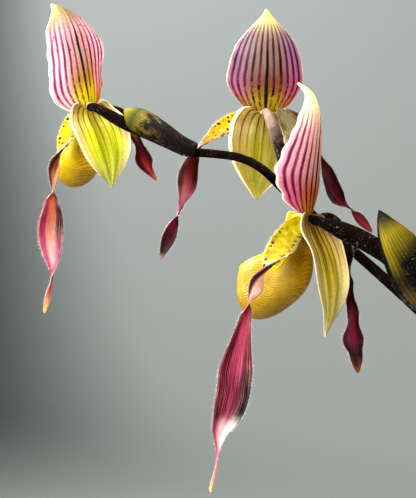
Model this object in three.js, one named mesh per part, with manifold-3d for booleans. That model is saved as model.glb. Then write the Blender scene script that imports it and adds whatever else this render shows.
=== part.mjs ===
// A potted slipper orchid: a clay pot of bark, two fans of strap leaves, and one hairy stem with three striped blooms.
// Millimetres, +Z up. The origin is the middle of the pot's foot, which stands on z = 0.
import * as THREE from "three";
import { mergeVertices } from "three/addons/utils/BufferGeometryUtils.js";
import Module from "manifold-3d";

const wasm = await Module();
wasm.setup();

// Pot: a plain thrown clay pot with a rolled rim band and four drain holes clear of its middle
const POT_HEIGHT = 110;
const POT_TOP_RADIUS = 60;
const POT_FOOT_RADIUS = 43;
const POT_WALL = 5;
const POT_FLOOR = 7;
const RIM_BAND_HEIGHT = 22;
const RIM_BAND_PROUD = 3.5;
const DRAIN_RADIUS = 5;
const DRAIN_RING_RADIUS = 22;
const DRAIN_COUNT = 4;

// Bark, rootstock and roots
const BARK_LEVEL = 98;
const BARK_CHIPS = 26;
const CROWN_LEVEL = 91.7;
const SEAT_GAP = 0.35;
const CROWNS = {
  old: { x: 0, y: 0, radius: 9.6, clasp: 75 },
  young: { x: 12, y: -28, radius: 7, clasp: 56 },
};
const ROOTS = [
  { crown: "old", azimuth: 35, reach: 34, drop: 46 },
  { crown: "old", azimuth: 125, reach: 36, drop: 52 },
  { crown: "old", azimuth: 190, reach: 36, drop: 42 },
  { crown: "old", azimuth: 240, reach: 30, drop: 56 },
  { crown: "young", azimuth: 300, reach: 8, drop: 46 },
];
const ROOT_RADIUS = 1.9;
const HOLE_FLARE = 6;

// Leaves: base radius is that of the sheath at the crown, rise is from the crown to the top of the arch
const LEAF_THICKNESS = 0.9;
const LEAVES = [
  { crown: "old", azimuth: 12, base: 4.1, reach: 138, rise: 128, half: 15, droop: 0.16 },
  { crown: "old", azimuth: 195, base: 4.1, reach: 150, rise: 118, half: 16, droop: 0.18 },
  { crown: "old", azimuth: 22, base: 6.3, reach: 196, rise: 92, half: 17, droop: 0.38 },
  { crown: "old", azimuth: 187, base: 6.3, reach: 204, rise: 84, half: 17, droop: 0.4 },
  { crown: "old", azimuth: 5, base: 8.5, reach: 182, rise: 56, half: 16, droop: 0.55 },
  { crown: "old", azimuth: 203, base: 8.5, reach: 170, rise: 50, half: 15, droop: 0.5 },
  { crown: "young", azimuth: -16, base: 3.4, reach: 104, rise: 88, half: 12, droop: 0.16 },
  { crown: "young", azimuth: 201, base: 3.4, reach: 112, rise: 78, half: 12.5, droop: 0.2 },
  { crown: "young", azimuth: -24, base: 5.9, reach: 132, rise: 58, half: 12.5, droop: 0.4 },
  { crown: "young", azimuth: 209, base: 5.9, reach: 124, rise: 52, half: 12.5, droop: 0.4 },
];
const LEAF_NECK = 11;
const LEAF_TIP_HALF = 1;
// Along each leaf above its neck: share of its reach, share of its rise, share of its half width, and arc
const LEAF_CURVE = [
  [0.15, 0.6, 0.92, 38],
  [0.33, 0.88, 1, 27],
  [0.55, 1, 0.98, 22],
];

// Stem: rows of x, y, z and radius, from the crown up through the three nodes
const STEM_ROWS = [
  [0, 0, CROWN_LEVEL + SEAT_GAP, 2.9],
  [0, 0, 140, 2.9],
  [-2, 0, 190, 2.8],
  [-8, 0, 245, 2.7],
  [-20, 2, 290, 2.6],
  [-38, 5, 325, 2.5],
  [-57, 9, 352, 2.45],
  [-75.4, 14, 372.9, 2.6],
  [-92.1, 22, 389.1, 2.3],
  [-106.1, 30, 402.4, 2.2],
  [-118.3, 38, 414, 2.15],
  [-131.9, 46, 427.3, 2.3],
  [-143.4, 50, 438.4, 2],
  [-153.4, 52, 443.6, 1.95],
  [-164.8, 54, 445.6, 1.95],
  [-178.6, 54, 446.5, 2.1],
];
// Stalk and ovary of each bloom, from the tip that carries the sepals back to its node
const OVARY_ROWS = {
  a: [
    [-226, 77.7, 470.1, 1.9],
    [-225, 76, 470.1, 1.9],
    [-219.5, 68, 468, 2.2],
    [-208, 59.5, 461, 2.9],
    [-193, 55, 454, 2.9],
    [-178.6, 54, 446.5, 2.1],
  ],
  b: [
    [-139.4, 103, 470.4, 1.9],
    [-139.3, 101, 470.4, 1.9],
    [-138.8, 91, 469, 2.2],
    [-136.5, 76, 460, 2.9],
    [-133.5, 60, 445, 2.8],
    [-131.9, 46, 427.3, 2.3],
  ],
  c: [
    [-128.1, 7.3, 414.8, 1.9],
    [-126.6, 6, 414.8, 1.9],
    [-122.1, 1.5, 413.1, 2.1],
    [-114.2, -7, 409.4, 3.6],
    [-104.5, -10.5, 404.5, 3.8],
    [-94, -9, 397, 3.5],
    [-83.5, 2, 383.5, 2.8],
    [-75.4, 14, 372.9, 2.4],
  ],
};

// Sheath at each node: rows of x, y, z, half width, roll and arc in degrees along its keel, from the base to the tip
const BRACT_THICKNESS = 0.8;
const BRACT_ROWS = {
  a: [
    [-173.5, 49.6, 447.1, 4.5, 183, 76],
    [-181, 48.4, 450.7, 5.6, 190, 78],
    [-188.5, 48, 455.8, 7.6, 194, 86],
    [-196, 48.8, 460.4, 9, 196, 86],
    [-202.6, 51.2, 464, 7.4, 196, 76],
    [-206.4, 55, 466, 1.2, 196, 60],
  ],
  b: [
    [-128.9, 44.4, 429.8, 4.2, 230, 68],
    [-125.6, 50.6, 438.8, 8.2, 230, 76],
    [-122.5, 60.8, 448.8, 11, 228, 80],
    [-122.8, 71.3, 458.8, 10.6, 222, 78],
    [-128.4, 80, 466.4, 6.5, 218, 70],
    [-134.5, 84.5, 471, 1, 214, 60],
  ],
  c: [
    [-69, 9.8, 371, 6.3, 205, 78],
    [-74.3, -1.2, 381.2, 11.6, 205, 80],
    [-81.5, -9.6, 391.5, 13.6, 205, 68],
    [-88.6, -15.5, 401.2, 12.2, 205, 62],
    [-95, -15.9, 410, 7.8, 205, 60],
    [-100.2, -12, 417.3, 0.8, 205, 55],
  ],
};

// Blooms. A bloom's own frame has x to its right, y out of its face and z up, turned about z by 90 - facing.
const BLOOMS = {
  a: {
    centre: [-225, 76, 470.1],
    dorsal: {
      facing: 57, roll: 8, pitch: 20, length: 1.03, bend: 1, lift: -0.8, skew: 1.8, wave: 1.7, phase: 0.4,
    },
    synsepal: { facing: 62, roll: 12, pitch: 0, length: 0.79, bend: 0.81, lift: 4, width: 0.8, phase: 1.9 },
    pouch: { facing: 62, roll: 2, pitch: 0, scale: 0.87 },
    petals: ["petal_near", "petal_far"],
  },
  b: {
    centre: [-139.3, 101, 470.4],
    dorsal: { facing: 88, roll: -1, pitch: 0, length: 0.96, bend: 1, lift: 0.5, wave: 1, phase: 2.6 },
    synsepal: { facing: 92, roll: -6, pitch: 0, length: 0.88, bend: 0.88, lift: 4, width: 0.97, phase: 0.7 },
    pouch: { facing: 88, roll: -3, pitch: 0, scale: 0.88 },
    petals: ["petal_left", "petal_right"],
  },
  c: {
    centre: [-126.6, 6, 414.8],
    dorsal: { facing: 24, roll: 0, pitch: 0, length: 1, bend: 0.75, lift: 1, wave: 1, phase: 1.2 },
    synsepal: {
      facing: 41, roll: 2, pitch: 0, length: 0.98, bend: 0.75, lift: 4, width: 0.78, slim: 0.78, phase: 3.3,
    },
    pouch: { facing: 41, roll: 0, pitch: 0, scale: 1 },
    petals: ["petal_near", "petal_far"],
  },
};
const BLADE_THICKNESS = 0.8;

// Dorsal sepal, a tall hooded blade: rows of y, z, half width and arc, then those of its other side where they differ
const DORSAL_ROWS = {
  a: [
    [-0.7, 2.35, 12.6, 50, 9, 50],
    [-2.6, 8, 17.2, 54, 12.4, 54],
    [-4.4, 15, 18, 50, 14.6, 52],
    [-6, 23, 15.8, 48, 17.4, 46],
    [-7.2, 31, 15, 46, 18, 42],
    [-7.3, 38.5, 13.8, 44, 15.8, 40],
    [-5.2, 45.5, 9.6, 44, 11, 40],
    [-0.4, 52.5, 4.2, 44, 5, 40],
    [6.6, 58, 0.6, 44, 0.6, 40],
  ],
  b: [
    [-0.7, 2.35, 12.4, 50],
    [-2.6, 8, 19, 54],
    [-4.4, 15, 22, 50],
    [-6, 23, 20.6, 46],
    [-7.2, 31, 18.1, 42],
    [-7.3, 38.5, 14.4, 40],
    [-5.6, 45.5, 8.4, 40],
    [-1.5, 51.5, 2.5, 42],
    [4.5, 55, 0.6, 42],
  ],
  c: [
    [-0.7, 2.35, 9.8, 50, 9.5, 44],
    [-2.3, 8, 17.6, 60, 17.5, 40],
    [-3.7, 15, 23.2, 60, 21.5, 36],
    [-4.8, 23, 19.8, 62, 20.5, 44],
    [-5.7, 31, 17, 60, 18.5, 56],
    [-6.3, 38.5, 13, 58, 13, 58],
    [-5.2, 46, 8.8, 54, 7.5, 56],
    [-1.3, 52, 4.4, 50, 3.4, 50],
    [6.2, 56, 0.6, 45, 0.6, 45],
  ],
};
const DORSAL_WAVES = 3.2;
// Synsepal, the broad blade of the two lower sepals grown together, keeled on its back
const SYNSEPAL_ROWS = [
  [-1.2, -2.95, 11, 10],
  [-2.4, -5, 14.2, 12],
  [-4.7, -9, 16.6, 14],
  [-8.6, -15, 17.4, 18],
  [-11.4, -22.5, 17, 20],
  [-12.6, -30, 14.6, 20],
  [-12.4, -38, 9.6, 18],
  [-10.5, -45, 4.1, 16],
  [-9, -49.8, 0.6, 14],
];
const SYNSEPAL_WAVE = 1.1;
const SYNSEPAL_WAVES = 2.3;
const SYNSEPAL_KEEL = 0.8;
const KEEL_PLACE = 0.28;
const KEEL_SPREAD = 0.14;

// Pouch: rows of z, middle, half width and half depth. The toe below TOE_ROUND_TOP is rounded to a point at TOE_BOTTOM.
const POUCH_WALL = 0.9;
const POUCH_ROWS = [
  [-43, 25.6, 12, 12],
  [-38, 23, 12, 12.6],
  [-34, 21.1, 11.4, 14.6],
  [-30, 19.4, 11.2, 16.4],
  [-25.6, 17.9, 11.4, 17.6],
  [-20.7, 16.4, 11.8, 17],
  [-17, 14.2, 11.6, 14.6],
  [-14, 10.4, 10.6, 10.6],
  [-11, 8, 9.6, 7.6],
  [-8, 6.6, 8.4, 5.2],
  [-5.5, 5.8, 6.8, 3.8],
  [-3.3, 5.4, 5.4, 3],
  [-2, 5.1, 4.4, 2.6],
];
const TOE_BOTTOM = -43;
const TOE_ROUND_TOP = -30;
// Height of the rim, by degrees from the front round to the back, alike on both sides
const RIM_ROWS = [
  [0, -21.5],
  [30, -20.5],
  [60, -16.5],
  [80, -13.6],
  [100, -16],
  [120, -20],
  [132, -15],
  [145, -8.5],
  [160, -3.7],
  [180, -2.7],
];

// Column: the short stump in the middle of the bloom with its shield
const COLUMN_RADIUS = 1.9;
const COLUMN_START = 2.75;
const COLUMN_END = 8;
const SHIELD_SIZE = [4.2, 1.1, 4.6];
const SHIELD_PLACE = [0, 8.2, -1];

// Petals: rows of x, y, z from the bloom's middle, half width and roll, in the pot's axes
const PETAL_ARC = 22;
const PETAL_ROWS = {
  a: [
    [
      [-3.6, 0.3, -0.3, 1.3, 0],
      [-7.3, -4, -7.5, 3.8, 4],
      [-10, -10.5, -18, 4.6, 45],
      [-13, -12, -25.5, 3.4, 100],
      [-15, -13, -32, 2.6, 170],
      [-15.5, -13, -40.5, 1.3, 255],
      [-16, -13, -46, 3, 340],
      [-16, -13, -53, 5.2, 355],
      [-16.5, -13, -60.5, 6.1, 360],
      [-16, -13, -68.5, 5, 365],
      [-15.5, -13, -75, 2.7, 380],
      [-16, -13, -82.5, 0.9, 440],
      [-17.5, -13, -89.5, 1.5, 510],
      [-19.5, -13, -98, 0.8, 540],
    ],
    [
      [1.8, 2.7, 0, 1.7, 0],
      [8, 12, -1.5, 4.6, 8],
      [14, 23, -3.5, 5, 12],
      [18, 32, -7.5, 3, 18],
      [20.5, 37, -12, 2.2, 20],
      [22.5, 42, -16.5, 3.2, 12],
      [23.5, 46, -21.5, 4.6, 0],
      [25.5, 50, -26, 2.8, -20],
      [29.5, 56, -31.5, 0.7, -50],
    ],
  ],
  b: [
    [
      [-2.7, 1.2, 0, 1.9, 0],
      [-9, 1.8, -2.6, 4.8, 8],
      [-17, -0.5, -5.5, 5, 20],
      [-23.5, -4, -10, 4.8, 30],
      [-29, -5, -14.5, 3.2, 55],
      [-33, -6, -18.5, 2.2, 100],
      [-36, -6, -24, 3.4, 150],
      [-38.5, -6, -31.5, 5, 175],
      [-39.5, -6, -38.5, 4.4, 185],
      [-42, -6, -45.5, 1.9, 210],
      [-43.5, -6, -50.5, 0.9, 270],
      [-46, -6, -56.5, 2.6, 335],
      [-48.5, -6, -63.5, 3.4, 355],
      [-52.5, -6, -73.5, 0.7, 370],
    ],
    [
      [2.7, 1.4, 0, 1.9, 0],
      [9.5, 2.4, -2, 4.8, -8],
      [16.5, 1, -5.5, 5, -15],
      [22, 0, -11, 3.8, -25],
      [25.5, -1, -16.5, 2.2, -60],
      [28, -1, -22.5, 2, -110],
      [31, -2, -30, 3.1, -155],
      [33.5, -2, -36.5, 3.9, -175],
      [36.5, -2, -42.5, 3.9, -190],
      [40, -2, -46, 2.2, -215],
      [42.5, -2, -48, 0.9, -270],
      [46, -2, -51.5, 2.2, -335],
      [49, -2, -55, 2.5, -355],
      [53.5, -2, -60, 0.7, -370],
    ],
  ],
  c: [
    [
      [-3, -1, 0, 1.7, 0],
      [-7, -4, -4.6, 4.2, 0],
      [-12, -12.6, -12.5, 5.6, 28],
      [-16.5, -20, -19, 4.6, 65],
      [-21.5, -23, -26, 3.7, 150],
      [-25, -24, -32.5, 1.4, 250],
      [-27, -24, -40.5, 2.4, 340],
      [-29, -24, -50.5, 4.6, 355],
      [-30.5, -24, -60, 6.6, 362],
      [-31.5, -23, -69.5, 6.6, 368],
      [-33.5, -22, -77.5, 5.8, 378],
      [-36.5, -22, -85, 4, 400],
      [-37.5, -21, -95, 1.5, 445],
      [-40.5, -20, -109, 0.8, 500],
    ],
    [
      [0.9, 3.2, 0, 1.7, 0],
      [4.2, 7.6, -0.8, 3, 10],
      [10.5, 12.6, -2, 5, 25],
      [16, 17, -9.5, 5, 40],
      [19, 20, -18.5, 4, 65],
      [20.5, 21, -27.5, 2.2, 120],
      [20.5, 21, -35, 2.3, 165],
      [21.5, 21, -40, 2.5, 178],
      [21.5, 21, -45.5, 2.6, 182],
      [21.5, 21, -52, 4.7, 186],
      [22.5, 21, -57.5, 3.1, 195],
      [23, 21, -62, 2.4, 205],
      [23.5, 21, -66.5, 0.7, 215],
    ],
  ],
};
const PETAL_WAVE = 0.8;
const PETAL_WAVES = 5;

const COLOURS = {
  clay: 0xa8623f,
  bark: 0x4b3322,
  root: 0x8f7a57,
  leaf: 0x3c5a27,
  stem: 0x1d1216,
  bract: 0x5a4d1c,
  sepal: 0xd9b0bf,
  synsepal: 0xb9b24a,
  pouch: 0xd9a91c,
  petal: 0x8e2340,
  column: 0xc9a22a,
};

const { degToRad, lerp } = THREE.MathUtils;

// Uniform Catmull-Rom through rows of numbers, all columns alike, with the ends carried on straight.
function rowAt(rows, t) {
  const last = rows.length - 1;
  const place = Math.min(Math.max(t, 0), 1) * last;
  const i = Math.min(Math.floor(place), last - 1);
  const s = place - i;
  return rows[i].map((_, column) => {
    const p1 = rows[i][column];
    const p2 = rows[i + 1][column];
    const p0 = i > 0 ? rows[i - 1][column] : 2 * p1 - p2;
    const p3 = i + 2 <= last ? rows[i + 2][column] : 2 * p2 - p1;
    const bend = 2 * p0 - 5 * p1 + 4 * p2 - p3;
    const cubic = 3 * p1 - p0 - 3 * p2 + p3;
    return 0.5 * (2 * p1 + (p2 - p0) * s + bend * s * s + cubic * s * s * s);
  });
}

// Straight lines through rows whose first column is the place.
function tableAt(rows, place) {
  const i = Math.max(1, rows.findIndex((row) => row[0] >= place));
  const low = rows[i - 1];
  const high = rows[i];
  const s = Math.min(Math.max((place - low[0]) / (high[0] - low[0]), 0), 1);
  return low.map((value, column) => lerp(value, high[column], s));
}

// A repeatable draw between 0 and 1 for bark chips.
function seededDraw(seed) {
  let state = seed;
  return () => {
    state = (state * 1664525 + 1013904223) % 4294967296;
    return state / 4294967296;
  };
}

function geometryOf(points, index) {
  const geometry = new THREE.BufferGeometry().setFromPoints(points);
  geometry.setIndex(index);
  return geometry;
}

function toSolid(geometry) {
  const bare = geometry.clone();
  bare.deleteAttribute("normal");
  bare.deleteAttribute("uv");
  const merged = mergeVertices(bare, 1e-4);
  const vertProperties = merged.attributes.position.array;
  const triVerts = new Uint32Array(merged.index.array);
  return new wasm.Manifold(new wasm.Mesh({ numProp: 3, vertProperties, triVerts }));
}

function toGeometry(solid) {
  const mesh = solid.getMesh();
  const geometry = new THREE.BufferGeometry();
  geometry.setAttribute("position", new THREE.BufferAttribute(mesh.vertProperties, 3));
  geometry.setIndex(new THREE.BufferAttribute(mesh.triVerts, 1));
  return geometry;
}

function joined(geometries) {
  return geometries.map(toSolid).reduce((whole, next) => whole.add(next));
}

// Rings of equally many points, joined to a closed solid that ends in a point at both ends.
function loft(rings, start, end) {
  const count = rings[0].length;
  const points = [start, ...rings.flat(), end];
  const at = (ring, j) => 1 + ring * count + (j % count);
  const index = [];
  for (let j = 0; j < count; j++) {
    index.push(0, at(0, j + 1), at(0, j));
    index.push(points.length - 1, at(rings.length - 1, j), at(rings.length - 1, j + 1));
    for (let ring = 0; ring + 1 < rings.length; ring++) {
      index.push(at(ring, j), at(ring, j + 1), at(ring + 1, j + 1));
      index.push(at(ring, j), at(ring + 1, j + 1), at(ring + 1, j));
    }
  }
  return geometryOf(points, index);
}

// A round tube through rows of x, y, z and radius, with flat ends. The reference is never along the tube.
function tube(rows, steps, sides, reference) {
  const rings = [];
  const centres = [];
  for (let k = 0; k <= steps; k++) {
    const [x, y, z, radius] = rowAt(rows, k / steps);
    const centre = new THREE.Vector3(x, y, z);
    const along = tangentAt((t) => new THREE.Vector3(...rowAt(rows, t)), k / steps);
    const side = along.clone().cross(reference).normalize();
    const other = along.clone().cross(side);
    const ring = [];
    for (let j = 0; j < sides; j++) {
      const angle = (2 * Math.PI * j) / sides;
      const spoke = side.clone().multiplyScalar(radius * Math.cos(angle));
      ring.push(spoke.addScaledVector(other, radius * Math.sin(angle)).add(centre));
    }
    rings.push(ring);
    centres.push(centre);
  }
  return loft(rings, centres[0], centres[steps]);
}

function tangentAt(pointAt, t) {
  const step = 1e-3;
  const ahead = pointAt(Math.min(t + step, 1));
  return ahead.sub(pointAt(Math.max(t - step, 0))).normalize();
}

// A thin blade: surface(t, v) gives the middle of its thickness, for t along it and v from -1 to 1 across it.
// Both faces are split alike, and each stands half the thickness off along the surface's normal.
function blade(surface, rows, columns, thickness) {
  const middle = [];
  for (let i = 0; i <= rows; i++) {
    for (let j = 0; j <= columns; j++) middle.push(surface(i / rows, (2 * j) / columns - 1));
  }
  const at = (i, j) => i * (columns + 1) + j;
  const front = [];
  const back = [];
  for (let i = 0; i <= rows; i++) {
    for (let j = 0; j <= columns; j++) {
      const along = middle[at(Math.min(i + 1, rows), j)].clone().sub(middle[at(Math.max(i - 1, 0), j)]);
      const across = middle[at(i, Math.min(j + 1, columns))].clone().sub(middle[at(i, Math.max(j - 1, 0))]);
      const normal = along.cross(across).normalize();
      front.push(middle[at(i, j)].clone().addScaledVector(normal, thickness / 2));
      back.push(middle[at(i, j)].clone().addScaledVector(normal, -thickness / 2));
    }
  }
  const under = front.length;
  const index = [];
  const quad = (a, b, c, d) => index.push(a, b, c, a, c, d);
  for (let i = 0; i < rows; i++) {
    for (let j = 0; j < columns; j++) {
      const corners = [at(i, j), at(i + 1, j), at(i + 1, j + 1), at(i, j + 1)];
      const [a, b, c, d] = corners;
      index.push(a, b, c, a, c, d);
      index.push(a + under, c + under, b + under, a + under, d + under, c + under);
    }
  }
  for (let i = 0; i < rows; i++) {
    const [low, high] = [at(i, 0), at(i + 1, 0)];
    const [lowFar, highFar] = [at(i, columns), at(i + 1, columns)];
    quad(high, low, low + under, high + under);
    quad(lowFar, highFar, highFar + under, lowFar + under);
  }
  for (let j = 0; j < columns; j++) {
    const [near, next] = [at(0, j), at(0, j + 1)];
    const [nearEnd, nextEnd] = [at(rows, j), at(rows, j + 1)];
    quad(near, next, next + under, near + under);
    quad(nextEnd, nearEnd, nearEnd + under, nextEnd + under);
  }
  return geometryOf([...front, ...back], index);
}

// A point on a blade's cross-section, an arc of the given degrees each side of the middle.
function arcPoint(centre, side, normal, half, arc, v, relief) {
  const angle = degToRad(Math.max(arc, 0.5));
  const radius = half / angle;
  return centre
    .clone()
    .addScaledVector(side, radius * Math.sin(angle * v))
    .addScaledVector(normal, radius * (1 - Math.cos(angle * v)) + relief);
}

// Surface of a ribbon whose rows hold x, y, z, half width, roll and arc. At no roll it faces along the y axis.
function ribbonSurface(rows, relief) {
  const pointAt = (t) => new THREE.Vector3(...rowAt(rows, t));
  return (t, v) => {
    const [x, y, z, half, roll, arc] = rowAt(rows, t);
    const along = tangentAt(pointAt, t);
    const side = new THREE.Vector3(-along.z, 0, along.x).normalize().applyAxisAngle(along, degToRad(roll));
    const normal = along.clone().cross(side);
    return arcPoint(new THREE.Vector3(x, y, z), side, normal, half, arc, v, relief(t, v));
  };
}

// Surface of a sepal whose rows hold y, z, half width and arc, then those of its other side where they differ. The bend
// is how far it leans out of its plane. The lift raises the two lobes of its base, by the skew more on one side. The
// slim is the share of the width that the side of negative v keeps.
function sepalSurface(rows, { length, width = 1, slim = 1, bend, lift, skew = 0 }, relief) {
  const side = new THREE.Vector3(1, 0, 0);
  const [startY, startZ] = rows[0];
  const pointAt = (t) => {
    const [y, z] = rowAt(rows, t);
    return new THREE.Vector3(0, startY + (y - startY) * bend, startZ + (z - startZ) * length);
  };
  return (t, v) => {
    const [, , half, arc, otherHalf = half, otherArc = arc] = rowAt(rows, t);
    const normal = tangentAt(pointAt, t).cross(side);
    const reach = (v < 0 ? half * slim : otherHalf) * width;
    const point = arcPoint(pointAt(t), side, normal, reach, v < 0 ? arc : otherArc, v, relief(t, v));
    point.z += (lift + skew * v) * v * v * (2 - v * v) * (1 - t) ** 4;
    return point;
  };
}

function mesh(name, geometry, colour, roughness) {
  const material = new THREE.MeshStandardMaterial({ color: colour, roughness, metalness: 0 });
  const made = new THREE.Mesh(geometry, material);
  made.name = name;
  return made;
}

// Outer radius of the pot's straight wall at a height.
function potRadiusAt(height) {
  return lerp(POT_FOOT_RADIUS, POT_TOP_RADIUS, height / POT_HEIGHT);
}

function makePot() {
  const bandBottom = POT_HEIGHT - RIM_BAND_HEIGHT;
  const bandRadius = potRadiusAt(POT_HEIGHT) + RIM_BAND_PROUD;
  const outline = [
    [0, 0],
    [POT_FOOT_RADIUS - 1.5, 0],
    [POT_FOOT_RADIUS, 1.5],
    [potRadiusAt(bandBottom), bandBottom],
    [bandRadius - 1.6, bandBottom + 0.8],
    [bandRadius - 0.6, bandBottom + 3],
    [bandRadius, POT_HEIGHT - 3],
    [bandRadius - 2, POT_HEIGHT],
    [potRadiusAt(POT_HEIGHT) - POT_WALL + 1.5, POT_HEIGHT],
    [potRadiusAt(POT_HEIGHT) - POT_WALL, POT_HEIGHT - 2],
    [potRadiusAt(POT_FLOOR) - POT_WALL, POT_FLOOR],
    [0, POT_FLOOR],
  ].map(([radius, height]) => new THREE.Vector2(radius, height));
  let solid = toSolid(new THREE.LatheGeometry(outline, 30).rotateX(Math.PI / 2));
  for (let k = 0; k < DRAIN_COUNT; k++) {
    const angle = ((k + 0.5) * 2 * Math.PI) / DRAIN_COUNT;
    const hole = new THREE.CylinderGeometry(DRAIN_RADIUS, DRAIN_RADIUS, POT_FLOOR * 4, 12).rotateX(Math.PI / 2);
    hole.translate(DRAIN_RING_RADIUS * Math.cos(angle), DRAIN_RING_RADIUS * Math.sin(angle), 0);
    solid = solid.subtract(toSolid(hole));
  }
  return mesh("pot", toGeometry(solid), COLOURS.clay, 0.85);
}

// The rootstock and its roots, each radius larger by the given clearance. With a clearance the crowns run on up as
// holes that widen towards the surface.
function rootstock(clearance) {
  const pieces = [];
  const deep = 76;
  for (const { x, y, radius } of Object.values(CROWNS)) {
    const outline = [
      [0, deep - clearance],
      [radius * 0.7 + clearance, deep - clearance],
      [radius + clearance, deep + 6],
      [radius + clearance, CROWN_LEVEL],
      [0, CROWN_LEVEL],
    ];
    if (clearance > 0) outline.splice(4, 1, [radius + HOLE_FLARE, BARK_LEVEL + 12], [0, BARK_LEVEL + 12]);
    const profile = outline.map(([across, height]) => new THREE.Vector2(across, height));
    pieces.push(new THREE.LatheGeometry(profile, 16).rotateX(Math.PI / 2).translate(x, y, 0));
  }
  const { old, young } = CROWNS;
  const link = [
    [old.x, old.y, deep + 6, 4.6 + clearance],
    [(old.x + young.x) / 2, (old.y + young.y) / 2, deep + 4, 4.2 + clearance],
    [young.x, young.y, deep + 6, 4 + clearance],
  ];
  pieces.push(tube(link, 4, 8, new THREE.Vector3(0, 0, 1)));
  for (const { crown, azimuth, reach, drop } of ROOTS) {
    const { x, y } = CROWNS[crown];
    const cos = Math.cos(degToRad(azimuth));
    const sin = Math.sin(degToRad(azimuth));
    const start = deep + 5;
    const rows = [
      [x, y, start, ROOT_RADIUS + clearance],
      [x + cos * reach * 0.45, y + sin * reach * 0.45, start - drop * 0.14, ROOT_RADIUS + clearance],
      [x + cos * reach * 0.85, y + sin * reach * 0.85, start - drop * 0.5, ROOT_RADIUS * 0.9 + clearance],
      [x + cos * reach, y + sin * reach, start - drop - clearance, ROOT_RADIUS * 0.5 + clearance],
    ];
    pieces.push(tube(rows, 5, 6, new THREE.Vector3(-sin, cos, 0)));
  }
  return joined(pieces);
}

function makeBark() {
  const clear = 0.4;
  const low = POT_FLOOR + clear;
  const radiusAt = (height) => potRadiusAt(height) - POT_WALL - 1.6 * clear;
  const outline = [
    [0, low],
    [radiusAt(low), low],
    [radiusAt(BARK_LEVEL - 2), BARK_LEVEL - 2],
    [radiusAt(BARK_LEVEL) * 0.7, BARK_LEVEL],
    [0, BARK_LEVEL + 0.5],
  ].map(([radius, height]) => new THREE.Vector2(radius, height));
  const pieces = [new THREE.LatheGeometry(outline, 24).rotateX(Math.PI / 2)];
  const draw = seededDraw(7);
  for (let k = 0; k < BARK_CHIPS; k++) {
    const ring = radiusAt(BARK_LEVEL) * (0.16 + 0.68 * Math.sqrt((k + 0.5) / BARK_CHIPS));
    const angle = k * 2.39996;
    const chip = new THREE.IcosahedronGeometry(1, 0);
    chip.scale(lerp(4.5, 7, draw()), lerp(3.2, 5, draw()), lerp(1.8, 3, draw()));
    chip.rotateX(lerp(-0.5, 0.5, draw())).rotateZ(lerp(0, Math.PI, draw()));
    chip.translate(ring * Math.cos(angle), ring * Math.sin(angle), BARK_LEVEL + lerp(-0.8, 0.6, draw()));
    pieces.push(chip);
  }
  const solid = joined(pieces).subtract(rootstock(clear));
  const bodies = solid.decompose().sort((one, other) => other.volume() - one.volume());
  return mesh("potting_bark", toGeometry(bodies[0]), COLOURS.bark, 0.95);
}

// Leaf: a channelled strap that leaves the crown upright as a sheath, arches over and hangs at the tip.
function makeLeaf({ crown, azimuth, base, reach, rise, half, droop }, number) {
  const foot = CROWN_LEVEL + SEAT_GAP;
  const neck = foot + LEAF_NECK;
  const arch = rise - LEAF_NECK;
  const { x, y, clasp } = CROWNS[crown];
  const sheath = base * degToRad(clasp);
  const rows = [
    [base, foot, sheath, clasp],
    [base + 0.2, neck, sheath + 0.3, clasp],
    [base + 0.035 * reach, neck + 0.26 * arch, lerp(sheath, half, 0.5), clasp * 0.75],
    ...LEAF_CURVE.map(([out, up, width, arc]) => [base + out * reach, neck + up * arch, width * half, arc]),
    [base + 0.8 * reach, neck + arch * (1 - 0.4 * droop), half * 0.78, 20],
    [base + reach, neck + arch * (1 - droop), LEAF_TIP_HALF, 16],
  ];
  const side = new THREE.Vector3(0, 1, 0);
  const pointAt = (t) => {
    const [radius, height] = rowAt(rows, t);
    return new THREE.Vector3(radius, 0, height);
  };
  const surface = (t, v) => {
    const [, , width, arc] = rowAt(rows, t);
    const normal = tangentAt(pointAt, t).cross(side);
    return arcPoint(pointAt(t), side, normal, width, arc, v, 0);
  };
  const made = mesh("leaf_" + number, blade(surface, 11, 4, LEAF_THICKNESS), COLOURS.leaf, 0.45);
  made.position.set(x, y, 0);
  made.rotation.z = degToRad(azimuth);
  return made;
}

function makeStem() {
  const up = new THREE.Vector3(0, 0, 1);
  const pieces = [tube(STEM_ROWS, 40, 7, new THREE.Vector3(0, 1, 0))];
  for (const rows of Object.values(OVARY_ROWS)) pieces.push(tube(rows, 11, 8, up));
  return mesh("flower_stem", toGeometry(joined(pieces)), COLOURS.stem, 0.8);
}

function makeBract(name, rows) {
  const surface = ribbonSurface(rows, () => 0);
  return mesh("bract_" + name, blade(surface, 8, 6, BRACT_THICKNESS), COLOURS.bract, 0.8);
}

// Turns a piece from the bloom's own frame, leaning first and facing last.
function place(made, { facing, roll, pitch }) {
  made.rotation.set(degToRad(-pitch), degToRad(-roll), degToRad(90 - facing), "ZYX");
  return made;
}

function makeDorsal(name, rows, how) {
  const wave = (t, v) =>
    how.wave * Math.abs(v) ** 3 * Math.sin(2 * Math.PI * DORSAL_WAVES * t + how.phase + v) * (1 - t);
  const surface = sepalSurface(rows, how, wave);
  return place(mesh(name, blade(surface, 13, 6, BLADE_THICKNESS), COLOURS.sepal, 0.55), how);
}

function makeSynsepal(name, how) {
  const relief = (t, v) => {
    const wave = Math.abs(v) ** 3 * Math.sin(2 * Math.PI * SYNSEPAL_WAVES * t + how.phase + v);
    const keel = Math.exp(-(((Math.abs(v) - KEEL_PLACE) / KEEL_SPREAD) ** 2));
    return SYNSEPAL_WAVE * wave * (1 - t) + SYNSEPAL_KEEL * keel * Math.sin(Math.PI * t);
  };
  const surface = sepalSurface(SYNSEPAL_ROWS, how, relief);
  return place(mesh(name, blade(surface, 12, 8, BLADE_THICKNESS), COLOURS.synsepal, 0.55), how);
}

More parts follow.
